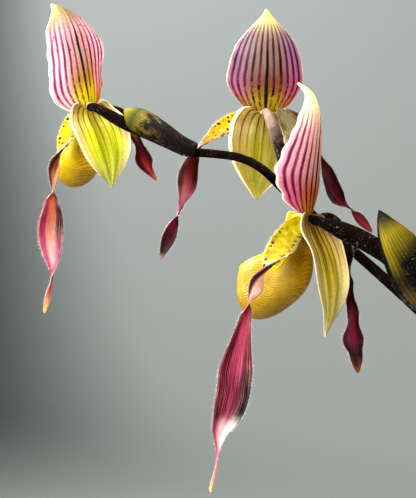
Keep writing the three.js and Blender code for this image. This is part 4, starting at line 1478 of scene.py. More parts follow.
@dataclass(frozen=True)
class Pot:
    """A plain thrown clay pot with a rolled rim band and drain holes."""

    material: Material
    height: float = 110.0
    top_radius: float = 60.0
    foot_radius: float = 43.0
    wall: float = 5.0
    floor: float = 7.0
    band_height: float = 22.0
    band_proud: float = 3.5
    drain_radius: float = 5.0
    drain_ring: float = 22.0
    drains: int = 4
    sides: int = 96
    sharp_from: float = 35.0

    def radius_at(self, height: float) -> float:
        """Outer radius of the straight wall at a height."""
        return self.foot_radius + (self.top_radius - self.foot_radius) * height / self.height

    def outline(self) -> Rows:
        """Radius and height round the pot's section, from the middle of the foot to the middle of the floor."""
        bottom = self.height - self.band_height
        band = self.radius_at(self.height) + self.band_proud
        return (
            (0, 0),
            (self.foot_radius - 1.5, 0),
            (self.foot_radius, 1.5),
            (self.radius_at(bottom), bottom),
            (band - 1.6, bottom + 0.8),
            (band - 0.6, bottom + 3),
            (band, self.height - 3),
            (band - 2, self.height),
            (self.radius_at(self.height) - self.wall + 1.5, self.height),
            (self.radius_at(self.height) - self.wall, self.height - 2),
            (self.radius_at(self.floor) - self.wall, self.floor),
            (0, self.floor),
        )

    def drill(self, angle: float) -> Mesh:
        """The body that bores the drain hole at an angle round the pot."""
        bore = turned("drain_drill", np.array([(0, -5), (self.drain_radius, -5), (self.drain_radius, 15), (0, 15)]), 32)
        bore.transform(Matrix.Translation(round_points(self.drain_ring, angle, 0) * MM))
        return bore

    def build(self) -> None:
        """Turns the pot, bores its drain holes, and shows it."""
        carrier = placed("pot_carrier", turned("thrown_pot", eased(self.outline(), 1.4, 5), self.sides))
        drills = [self.drill((k + 0.5) * TURN / self.drains) for k in range(self.drains)]
        cutter = placed("drain_drills", joined("drain_drills", drills))
        cut = carrier.modifiers.new("drains", "BOOLEAN")
        cut.object, cut.operation, cut.solver = cutter, "DIFFERENCE", "EXACT"
        pot = baked(carrier, "thrown_pot")
        bpy.data.objects.remove(cutter)
        pot.set_sharp_from_angle(angle=math.radians(self.sharp_from))
        show(pot, self.material, ["pot"])


@dataclass(frozen=True)
class BarkBed:
    """The bark that fills the pot: a packed bed, loose chips on top of it and a little moss between them."""

    pot: Pot
    crowns: Sequence[Crown]
    material: Material
    moss: Material
    level: float = 98.0
    clear: float = 1.0
    lump: float = 0.9
    hollow: float = 4.5
    hollow_reach: float = 11.0
    patches: Rows = ((-24, 20), (30, 14), (-12, -34))
    chips: Scatter = Scatter(Small.CHIP, length=10.0, radius=5.0, density=0.016, lean=0.5, smallest=0.5, seed=5)
    tufts: Scatter = Scatter(Small.HAIR, length=2.6, radius=0.22, density=0.75, lean=0.9, smallest=0.4, seed=9)

    def top_at(self, x: Array, y: Array) -> Array:
        """Height of the bed's top, lumpy and sunk round the crowns."""
        lumps = np.sin(0.31 * x + 1) * np.cos(0.27 * y) + 0.6 * np.sin(0.63 * x + 0.5 * y) * np.cos(0.71 * y - 0.4 * x)
        height = self.level + self.lump * lumps - 0.6
        for crown in self.crowns:
            height = height - self.hollow * bell(np.hypot(x - crown.x, y - crown.y), self.hollow_reach)
        return height

    def build(self) -> None:
        """Makes the bed, its chips and its moss, and shows them."""
        bottom = self.pot.floor + 0.4
        foot, rim = (self.pot.radius_at(z) - self.pot.wall - self.clear for z in (bottom, self.level - 3))
        radii = np.concatenate([[0.0, foot], rim * np.linspace(1, 0, 40)])[:, None]
        rings = round_points(radii, circle(90)[None, :], bottom)
        rings[2:, :, 2] = self.top_at(rings[2:, :, 0], rings[2:, :, 1])
        show(ring_mesh("bark_bed", rings), self.material, ["potting_bark"])
        top = self.open_top("bark_top", 15.0, 47.0)
        show(self.chips.grow("bark_chips", top, self.material))
        patches = [self.open_top("moss_patch", 0.0, 7.0, spot) for spot in self.patches]
        show(self.tufts.grow("moss_tufts", joined("moss_ground", patches), self.moss))

    def open_top(self, name: str, inner: float, outer: float, centre: Point = (0.0, 0.0)) -> Mesh:
        """A ring of the bed's top, on which small things lie.

        Args:
            name: The mesh's name.
            inner: Inner radius of the ring.
            outer: Outer radius of the ring.
            centre: Middle of the ring.

        Returns:
            An open mesh that follows the top.
        """
        ring = round_points(np.linspace(inner, outer, 16)[None, :], np.linspace(0, TURN, 61)[:, None], 0.0)
        points = ring + (*centre, 0.0)
        points[..., 2] = self.top_at(points[..., 0], points[..., 1])
        return open_mesh(name, points)


# --- The studio ---


def hang(lamp: Light, place: Point, aim: Point) -> None:
    """Puts a lamp into the scene, turned to what it lights and unseen by the camera."""
    thing = placed(lamp.name, lamp)
    thing.location = place
    thing.rotation_euler = (Vector(aim) - Vector(place)).to_track_quat("-Z", "Y").to_euler()
    thing.visible_camera = False


@dataclass(frozen=True)
class Softbox:
    """A square soft light that the camera doesn't see."""

    name: str
    place: Point
    aim: Point
    size: float
    power: float
    tint: int = 0xFFFFFF
    spread: float = 70.0

    def build(self) -> None:
        """Hangs the light at its place, turned to what it lights."""
        lamp = bpy.data.lights.new(self.name, "AREA")
        lamp.shape, lamp.size, lamp.energy, lamp.color = "SQUARE", self.size, self.power, linear(self.tint)[:3]
        lamp.spread = math.radians(self.spread)
        hang(lamp, self.place, self.aim)


@dataclass(frozen=True)
class Spot:
    """A lamp that throws a soft-edged round pool of light."""

    name: str
    place: Point
    aim: Point
    power: float
    degrees: float
    blend: float

    def build(self) -> None:
        """Hangs the lamp at its place, turned to what it lights."""
        lamp = bpy.data.lights.new(self.name, "SPOT")
        lamp.energy, lamp.spot_size, lamp.spot_blend = self.power, math.radians(self.degrees), self.blend
        hang(lamp, self.place, self.aim)


@dataclass(frozen=True)
class Studio:
    """A pale floor that curves up all round, soft lights and the camera at the photograph's angle. Sizes are metres."""

    floor_radius: float = 1.2
    wall_radius: float = 4.6
    wall_height: float = 4.2
    below_pot: float = 0.0006
    paper: int = 0x989C9A
    painted_shade_paper: int = 0x4A4E4C
    painted_floor_shade: int = 0x787B79
    camera_place: Point = (-0.168, -0.434, 0.402)
    lens: float = 76.9
    sky: float = 0.25
    air: int = 0xF2F4F5
    lights: Sequence[Softbox | Spot] = (
        Softbox("back_light", (-1.9, 1.65, 1.7), (-0.17, 0.05, 0.42), 1.3, 27.0, 0xFFF8EC, 34.0),
        Softbox("top_light", (-0.25, -0.05, 1.25), (-0.17, 0.03, 0.42), 0.5, 4.0, 0xFFF8EE),
        Softbox("fill_light", (-0.95, -1.1, 0.75), (-0.17, 0.0, 0.38), 0.8, 9.0, 0xFFFAF2),
        Spot("wall_light", (-0.5, 2.2, 3.4), (1.3, 3.4, 0.8), 350.0, 118.0, 0.6),
    )

    def hang_paper(self) -> None:
        """Makes the floor and the wall of one sheet of paper, and puts it in the scene."""
        turn = np.linspace(0, np.pi / 2, 24)
        depth = self.wall_radius - self.floor_radius
        bend = points_of(self.floor_radius + depth * np.sin(turn), depth * (1 - np.cos(turn)))
        outline = np.concatenate([[(0.001, 0)], bend, [(self.wall_radius, self.wall_height)]])
        radius, height = outline[None, :, 0], outline[None, :, 1] - self.below_pot
        sweep = open_mesh("paper_sweep", round_points(radius, np.linspace(0, TURN, 145)[:, None], height) / MM)
        sweep.materials.append(BackdropPaper("backdrop_paper", self.paper, self.painted_shade_paper, self.painted_floor_shade).dress())
        placed("paper_sweep", sweep)

    def build(self) -> None:
        """Hangs the paper and the lights and sets the camera."""
        self.hang_paper()
        for light in self.lights:
            light.build()
        scene = bpy.context.scene
        scene.world = bpy.data.worlds.new("studio_air")
        scene.world.use_nodes = True
        air = scene.world.node_tree.nodes["Background"].inputs
        air["Color"].default_value, air["Strength"].default_value = linear(self.air), self.sky
        camera = bpy.data.cameras.new("studio_camera")
        camera.lens, camera.sensor_width, camera.sensor_fit = self.lens, 36.0, "AUTO"
        scene.camera = placed("studio_camera", camera)
        scene.camera.location = self.camera_place
        scene.camera.rotation_euler = (math.pi / 2, 0.0, 0.0)
        scene.view_settings.view_transform = "Standard"
        scene.view_settings.look = "Medium High Contrast"


# --- The plant ---


PETAL_FINISHES: Mapping[str, PetalTissue] = {
    "a_near": PetalTissue(
        "petal_tissue_a_near",
        centre=(
            (0, 0xD2CA0B), (0.14, 0xD2C80F), (0.19, 0xB07018), (0.3, 0x9A5A20), (0.4, 0xC08244), (0.5, 0xB86A40),
            (0.58, 0xB47A60), (0.67, 0xD0A8A0), (0.76, 0xD8B0B4), (0.82, 0xA04868), (0.9, 0xA85070), (0.97, 0xC8B080),
            (1, 0xD0C088),
        ),
        left=(
            (0, 0xD2CC09), (0.17, 0xD0C818), (0.21, 0xF2EBDA), (0.3, 0xE6D2B0), (0.42, 0x882848), (0.6, 0x983A60),
            (0.7, 0xB0587C), (0.84, 0xB86880), (0.97, 0xC8B080), (1, 0xD0C088),
        ),
        right=(
            (0, 0xCDCA04), (0.14, 0xB1A30B), (0.19, 0x4A2412), (0.3, 0x3C1612), (0.42, 0x701828), (0.52, 0x38101A),
            (0.6, 0x40121E), (0.66, 0xA04468), (0.76, 0xC87898), (0.84, 0x9D4B6F), (0.97, 0xB89982), (1, 0xB89F86),
        ),
        streak=((0, 0.0), (0.2, 0.25), (0.4, 0.5), (0.6, 0.45), (0.8, 0.2), (1, 0.1)),
        spots=((0, 0.0), (0.08, 0.12), (0.16, 0.3), (0.22, 0.1), (0.24, 0.0)),
        margin=((0, 0.0), (0.2, 0.1), (0.5, 0.15), (0.8, 0.5), (1, 0.6)),
    ),
    "a_far": PetalTissue(
        "petal_tissue_a_far",
        centre=(
            (0, 0xC6B921), (0.1, 0x895821), (0.2, 0x591421), (0.4, 0xAF6852), (0.55, 0x591627), (0.68, 0x78293C),
            (0.8, 0xA64963), (0.92, 0xBE7884), (1, 0xC79D84),
        ),
        left=(
            (0, 0xC6B921), (0.1, 0x69391B), (0.2, 0x380F1B), (0.5, 0x2F0F1B), (0.7, 0x3A0F1D), (0.9, 0x78293E),
            (1, 0xBE8D7B),
        ),
        right=(
            (0, 0xC6B921), (0.1, 0x69391B), (0.2, 0x41121F), (0.5, 0x3A0F1B), (0.7, 0x491425), (0.9, 0x89334A),
            (1, 0xBE8D7B),
        ),
        streak=((0, 0.1), (0.3, 0.5), (0.7, 0.5), (1, 0.2)),
        spots=((0, 0.25), (0.12, 0.25), (0.2, 0.0)),
        margin=((0, 0.0), (0.4, 0.2), (1, 0.4)),
        length_mm=80.0,
        pale_streak_and_sheen=0x8C3A40,
    ),
    "b_left": PetalTissue(
        "petal_tissue_b_left",
        centre=(
            (0, 0xCCC010), (0.26, 0xC8B010), (0.33, 0x6D3D12), (0.4, 0x5A1214), (0.5, 0x661814), (0.57, 0x8A3A38),
            (0.64, 0xA05468), (0.72, 0x90305C), (0.84, 0x74204C), (0.9, 0x40101E), (0.975, 0x2A0C14), (1, 0xB8A080),
        ),
        left=(
            (0, 0xCCC010), (0.28, 0xC4A410), (0.37, 0x673410), (0.45, 0x3C0A10), (0.56, 0x4A1014), (0.64, 0x984858),
            (0.72, 0x8A2850), (0.84, 0x6A1C44), (0.9, 0x3A0C18), (0.975, 0x2A0C14), (1, 0xB8A080),
        ),
        right=(
            (0, 0xCCC010), (0.24, 0xC09A18), (0.34, 0x834011), (0.42, 0x6A2A12), (0.5, 0x480C10), (0.58, 0x400C12),
            (0.64, 0x803848), (0.74, 0x50101F), (0.9, 0x30101A), (0.975, 0x2A0C14), (1, 0xB8A080),
        ),
        streak=((0, 0.15), (0.3, 0.35), (0.45, 0.6), (0.7, 0.55), (0.9, 0.4), (1, 0.0)),
        spots=((0, 0.2), (0.08, 0.34), (0.2, 0.36), (0.3, 0.26), (0.36, 0.0)),
        margin=((0, 0.0), (0.3, 0.0), (0.45, 0.12), (1, 0.15)),
        pale_streak_and_sheen=0x8C3A40,
    ),
    "b_right": PetalTissue(
        "petal_tissue_b_right",
        centre=(
            (0, 0xC8B01E), (0.08, 0x9A7A1E), (0.16, 0x5A2A18), (0.3, 0x40141C), (0.5, 0x5A1626), (0.62, 0x4A101C),
            (0.75, 0x6A1A30), (0.88, 0x8A2A48), (1, 0xA04A5A),
        ),
        left=((0, 0xC8B01E), (0.08, 0x7A5A1C), (0.16, 0x2C1012), (0.6, 0x200A10), (0.8, 0x3A0E1A), (1, 0x8A3A48)),
        right=((0, 0xC8B01E), (0.08, 0x7A5A1C), (0.16, 0x30121A), (0.6, 0x280C14), (0.8, 0x4A1222), (1, 0x8A3A48)),
        streak=((0, 0.2), (0.3, 0.6), (0.7, 0.6), (1, 0.3)),
        spots=((0, 0.26), (0.12, 0.26), (0.2, 0.0)),
        margin=((0, 0.0), (0.4, 0.15), (1, 0.2)),
        pale_streak_and_sheen=0x8C3A40,
    ),
    "c_near": PetalTissue(
        "petal_tissue_c_near",
        centre=(
            (0, 0xBCAF06), (0.2, 0xB7A50B), (0.25, 0xE4D6B4), (0.36, 0xD9A9A0), (0.42, 0x9A3152), (0.5, 0xB64E72),
            (0.62, 0xA63E64), (0.68, 0x782344), (0.78, 0x89284C), (0.82, 0xD8A8B0), (0.87, 0xDCB4B8),
            (0.91, 0xBA6082), (0.96, 0xDDB4A8), (1, 0xE2D0A8),
        ),
        left=(
            (0, 0xB9AE08), (0.2, 0xB1A10D), (0.27, 0xEEE4D2), (0.35, 0xE6C4BC), (0.4, 0x7A1934), (0.46, 0x5A0C23),
            (0.62, 0x691431), (0.8, 0x5A0F2C), (0.86, 0x98405C), (0.93, 0xB15978), (1, 0xDEC39A),
        ),
        right=(
            (0, 0xBCB108), (0.21, 0xA9961C), (0.26, 0x4A1420), (0.36, 0x3A0C1A), (0.42, 0x9C374B), (0.5, 0xAC4C64),
            (0.6, 0x701430), (0.65, 0x12050A), (0.76, 0x12050A), (0.8, 0xF0E0E0), (0.87, 0xEFE0E0), (0.91, 0xCB7295),
            (1, 0xE6D0A8),
        ),
        streak=((0, 0.0), (0.2, 0.1), (0.4, 0.4), (0.6, 0.5), (0.78, 0.45), (0.85, 0.1), (1, 0.1)),
        spots=((0, 0.0), (0.12, 0.0), (0.18, 0.26), (0.24, 0.3), (0.28, 0.0)),
        margin=((0, 0.0), (0.2, 0.3), (0.4, 0.1), (1, 0.15)),
        width_mm=11.0,
    ),
    "c_far": PetalTissue(
        "petal_tissue_c_far",
        centre=(
            (0, 0xAC8B29), (0.1, 0x9F7A20), (0.13, 0x2C0F02), (0.18, 0x0E0102), (0.3, 0x1E0104), (0.45, 0x33030B),
            (0.6, 0x6D122A), (0.75, 0x782043), (0.85, 0x1E0A10), (0.93, 0x1E0A10), (1, 0xA05A28),
        ),
        left=(
            (0, 0xD8C83C), (0.1, 0xB89C2C), (0.13, 0x290E04), (0.17, 0x090102), (0.5, 0x100103), (0.7, 0x4A1430),
            (0.85, 0x1A080E), (1, 0x8A4A24),
        ),
        right=(
            (0, 0xD8C83C), (0.1, 0xB89C2C), (0.13, 0x290E04), (0.17, 0x090102), (0.5, 0x210206), (0.7, 0x5A1838),
            (0.85, 0x1A080E), (1, 0x8A4A24),
        ),
        streak=((0, 0.2), (0.3, 0.5), (0.7, 0.5), (1, 0.2)),
        spots=((0, 0.26), (0.1, 0.26), (0.16, 0.0)),
        margin=((0, 0.0), (0.4, 0.15), (1, 0.2)),
        pale_streak_and_sheen=0x7A2A38,
    ),
}

SYNSEPAL = SepalTissue(
    "synsepal_tissue",
    ground=((0, 0xB7A82B), (0.2, 0xC2B82B), (0.4, 0xCAC827), (0.62, 0xD5DC34), (0.82, 0xE6EC78), (1, 0xE8F4BB)),
    side=((0, 0xC6B178), (0.3, 0xC9B986), (0.6, 0xCDC491), (1, 0xD8D4A6)),
    band=((0, 0x7A4A1C), (0.3, 0xA8842C), (0.6, 0xC0B43C), (1, 0xD0CC70)),
    band_strength=((0, 0.6), (0.25, 0.5), (0.45, 0.2), (0.7, 0.08), (1, 0.0)),
    vein=((0, 0x38160A), (0.25, 0x4A2210), (0.45, 0x7A5A20), (0.8, 0xA89A3A)),
    vein_strength=((0, 1.0), (0.25, 1.0), (0.42, 0.75), (0.6, 0.35), (0.8, 0.1), (0.9, 0.0)),
    vein_width=0.2,
    margin=0xE6DCBC,
    margin_from=0.86,
    veins=4.5,
    broken_until=0.0,
    side_from=0.45,
)

SEPAL_FINISHES: Mapping[str, SepalTissue] = {
    "a_dorsal": SepalTissue(
        "dorsal_tissue_a",
        ground=(
            (0, 0xC0C008), (0.12, 0xC8C010), (0.22, 0xB0942C), (0.32, 0xBA9A88), (0.45, 0xC5A4A4), (0.6, 0xCCAFAE),
            (0.7, 0xA18D69), (0.78, 0x8E8248), (1, 0xAA9D5D),
        ),
        side=(
            (0, 0xC8B040), (0.08, 0xE0B8A8), (0.2, 0xE6C4CC), (0.45, 0xEACFD5), (0.64, 0xE2C8CC), (0.76, 0xACA76D),
            (1, 0xBEBA73),
        ),
        band=((0, 0xA03068), (0.2, 0xA82C78), (0.5, 0xB04488), (0.8, 0xB86898), (1, 0xC890A0)),
        band_strength=((0, 0.7), (0.15, 1.0), (0.7, 1.0), (0.8, 0.5), (0.86, 0.0)),
        vein=((0, 0x4A1A08), (0.25, 0x40120A), (0.5, 0x5A2418), (0.66, 0x8A4A48), (1, 0xB08080)),
        vein_strength=((0, 0.5), (0.1, 0.95), (0.5, 1.0), (0.62, 0.6), (0.78, 0.2), (0.85, 0.0)),
        midrib=((0, 0.0), (0.06, 0.03), (0.3, 0.045), (0.5, 0.05), (0.62, 0.024), (0.75, 0.008), (0.9, 0.0)),
        margin=0xFDF8EA,
        broken_until=0.22,
        side_from=0.2,
        tip_skew=0.1,
        flecks=0.22,
        margin_from=0.94,
    ),
    "b_dorsal": SepalTissue(
        "dorsal_tissue_b",
        ground=(
            (0, 0xA18E05), (0.1, 0xA89B07), (0.18, 0x947718), (0.26, 0x915E4A), (0.4, 0x9B7F77), (0.62, 0xA28F83),
            (0.72, 0xBDB989), (0.8, 0xCECA7E), (1, 0xD7D177),
        ),
        side=(
            (0, 0xAF932C), (0.1, 0xB68674), (0.22, 0xB28098), (0.5, 0xA88DA0), (0.66, 0xA59398), (0.78, 0xCCC69B),
            (1, 0xDDD986),
        ),
        band=((0, 0x8A384A), (0.2, 0x912B6C), (0.5, 0x7F3373), (0.7, 0x773B6F), (0.85, 0x8A6579), (1, 0xA68C79)),
        band_strength=((0, 0.5), (0.14, 0.95), (0.6, 0.95), (0.72, 0.7), (0.82, 0.1), (0.86, 0.0)),
        vein=((0, 0x220D04), (0.25, 0x160504), (0.5, 0x270711), (0.68, 0x591F41), (0.85, 0x75465C)),
        vein_strength=((0, 0.6), (0.08, 1.0), (0.5, 1.0), (0.64, 0.8), (0.76, 0.3), (0.84, 0.0)),
        vein_width=0.42,
        midrib=((0, 0.05), (0.1, 0.06), (0.3, 0.045), (0.5, 0.022), (0.66, 0.0)),
        margin=0xF0EACC,
        margin_from=0.94,
        broken_until=0.24,
    ),
    "c_dorsal": SepalTissue(
        "dorsal_tissue_c",
        ground=(
            (0, 0xBFA00B), (0.08, 0xBF9120), (0.16, 0xBF8250), (0.28, 0xC6A59B), (0.6, 0xD7C5BD), (0.76, 0xE3E2BA),
            (0.86, 0xE3E4A3), (1, 0xE7E8A0),
        ),
        side=((0, 0xC68088), (0.14, 0xC6809B), (0.3, 0xD5A9B5), (0.5, 0xDCBFC3), (0.74, 0xEBECCD), (1, 0xE7EAA4)),
        band=((0, 0x8B2A4A), (0.2, 0x9A2C6C), (0.5, 0xA13776), (0.7, 0xAB5481), (1, 0xBD858E)),
        band_strength=((0, 0.9), (0.4, 1.0), (0.6, 0.85), (0.72, 0.5), (0.82, 0.1), (0.86, 0.0)),
        vein=((0, 0x38160A), (0.25, 0x340E10), (0.42, 0x641A38), (0.62, 0xA03A78)),
        vein_strength=((0, 0.7), (0.1, 1.0), (0.36, 0.9), (0.56, 0.6), (0.74, 0.25), (0.84, 0.0)),
        midrib=((0, 0.03), (0.1, 0.05), (0.4, 0.05), (0.7, 0.02), (0.85, 0.0)),
        margin=0xFCF6EA,
        margin_from=0.93,
        broken_until=0.12,
    ),
    "a_synsepal": SYNSEPAL,
    "b_synsepal": replace(
        SYNSEPAL,
        name="synsepal_tissue_b",
        ground=((0, 0x9E8C27), (0.25, 0x918616), (0.6, 0x918C1B), (0.85, 0xA5A351), (1, 0xB2B06A)),
        side=((0, 0xA6944F), (0.4, 0xA3944F), (0.8, 0xA89C58), (1, 0xACA260)),
        band=((0, 0x6D380E), (0.3, 0x8C5C1C), (0.7, 0x997A35), (1, 0xA59252)),
        side_from=0.2,
        margin=0xEAE4CC,
    ),
    # Painted shade darkens its sides near the base, standing in for the stem's shadow.
    # Towards the downturned tip the ground is paler, partly its own colour and partly painted light for a face that
    # little lamp light reaches.
    "c_synsepal": replace(
        SYNSEPAL,
        name="synsepal_tissue_c_painted_light_and_shade",
        ground=((0, 0xBA9139), (0.2, 0xBE9B35), (0.4, 0xDCC844), (0.55, 0xF0E060), (0.8, 0xFAF0A0), (1, 0xFAF6D0)),
        band=((0, 0x9A6428), (0.3, 0xC09A44), (0.6, 0xD4C058), (1, 0xDCD484)),
        side_from=0.3,
        band_strength=((0, 0.6), (0.25, 0.5), (0.42, 0.2), (0.6, 0.04), (1, 0.0)),
        vein=((0, 0x38160A), (0.25, 0x4A180E), (0.5, 0x6A3018), (0.8, 0xC0A048)),
        vein_strength=((0, 1.0), (0.25, 1.0), (0.42, 0.8), (0.55, 0.3), (0.7, 0.1), (0.9, 0.0)),
        vein_width=0.28,
        side=((0, 0xB09868), (0.3, 0xC0AC78), (0.55, 0xE0D8A8), (1, 0xECEAC0)),
    ),
}

BRACT_FINISHES: Mapping[str, BractTissue] = {
    "a": BractTissue(
        "bract_tissue_a",
        ground=(
            (0, 0x060404), (0.2, 0x0E0907), (0.32, 0x4A341A), (0.5, 0x806634), (0.64, 0x86781E), (0.76, 0x46520E),
            (0.86, 0x8C861C), (1, 0xB4A838),
        ),
        blotch=0x0C0705,
        blotch_strength=((0, 0.7), (0.2, 0.6), (0.35, 0.58), (0.58, 0.56), (0.68, 0.28), (1, 0.2)),
        vein_strength=0.6,
        edge=0x140C08,
        edge_from=0.8,
    ),
    "b": BractTissue(
        "bract_tissue_b",
        ground=((0, 0x2E2214), (0.3, 0x41391A), (0.7, 0x4D4522), (1, 0x5A512D)),
        blotch=0x4A3424,
        blotch_strength=((0, 0.6), (0.3, 0.4), (0.7, 0.2), (1, 0.1)),
        edge=0x6A5A3A,
        edge_from=0.88,
    ),
    "c": BractTissue(
        "bract_tissue_c",
        ground=(
            (0, 0x20140C), (0.1, 0x5A4626), (0.34, 0x6A5226), (0.44, 0x3A2A10), (0.5, 0x4A3C0C), (0.6, 0x84740E),
            (0.78, 0x9A8A12), (0.88, 0x5C500C), (0.94, 0x0C0806), (1, 0x080505),
        ),
        blotch=0x0E0806,
        blotch_strength=((0, 0.2), (0.3, 0.15), (0.42, 0.4), (0.6, 0.15), (0.85, 0.2), (1, 0.6)),
        edge=0x0A0605,
        edge_from=0.78,
        vein_strength=0.5,
        painted_shade_side=((0, 0.1), (0.3, 0.25), (0.38, 1.0), (0.56, 1.0), (0.66, 0.4), (0.8, 0.15), (0.94, 0.7)),
    ),
}


@dataclass(frozen=True)
class BloomPlan:
    """Where a bloom stands and how its pieces turn."""

    letter: str
    centre: Point
    dorsal: Turn
    synsepal: Turn
    pouch: Turn
    dorsal_rows: Rows
    petals: Mapping[str, Rows]


SYNSEPAL_ROWS: Rows = (
    (-1.2, -2.95, 11, 10), (-2.4, -5, 14.2, 12), (-4.7, -9, 16.6, 14), (-8.6, -15, 17.4, 18),
    (-11.4, -22.5, 17, 20), (-12.6, -30, 14.6, 20), (-12.4, -38, 9.6, 18), (-10.5, -45, 4.1, 16),
    (-9, -49.8, 0.6, 14),
)

LEAVES: Sequence[tuple[str, float, float, float, float, float, float]] = (
    ("old", 12, 4.1, 138, 128, 15, 0.16),
    ("old", 195, 4.1, 150, 118, 16, 0.18),
    ("old", 22, 6.3, 196, 92, 17, 0.38),
    ("old", 187, 6.3, 204, 84, 17, 0.4),
    ("old", 5, 8.5, 182, 56, 16, 0.55),
    ("old", 203, 8.5, 170, 50, 15, 0.5),
    ("young", -16, 3.4, 104, 88, 12, 0.16),
    ("young", 201, 3.4, 112, 78, 12.5, 0.2),
    ("young", -24, 5.9, 132, 58, 12.5, 0.4),
    ("young", 209, 5.9, 124, 52, 12.5, 0.4),
)

BRACT_ROWS: Mapping[str, Rows] = {
    "a": (
        (-173.5, 49.6, 447.1, 4.5, 183, 76), (-181, 48.4, 450.7, 5.6, 190, 78),
        (-188.5, 48, 455.8, 7.6, 194, 86), (-196, 48.8, 460.4, 9, 196, 86), (-202.6, 51.2, 464, 7.4, 196, 76),
        (-206.4, 55, 466, 1.2, 196, 60),
    ),
    "b": (
        (-128.9, 44.4, 429.8, 4.2, 230, 68), (-125.6, 50.6, 438.8, 8.2, 230, 76),
        (-122.5, 60.8, 448.8, 11, 228, 80), (-122.8, 71.3, 458.8, 10.6, 222, 78),
        (-128.4, 80, 466.4, 6.5, 218, 70), (-134.5, 84.5, 471, 1, 214, 60),
    ),
    "c": (
        (-69, 9.8, 371, 6.3, 205, 78), (-74.3, -1.2, 381.2, 11.6, 205, 80), (-81.5, -9.6, 391.5, 13.6, 205, 68),
        (-88.6, -15.5, 401.2, 12.2, 205, 62), (-95, -15.9, 410, 7.8, 205, 60),
        (-100.2, -12, 417.3, 0.8, 205, 55),
    ),
}

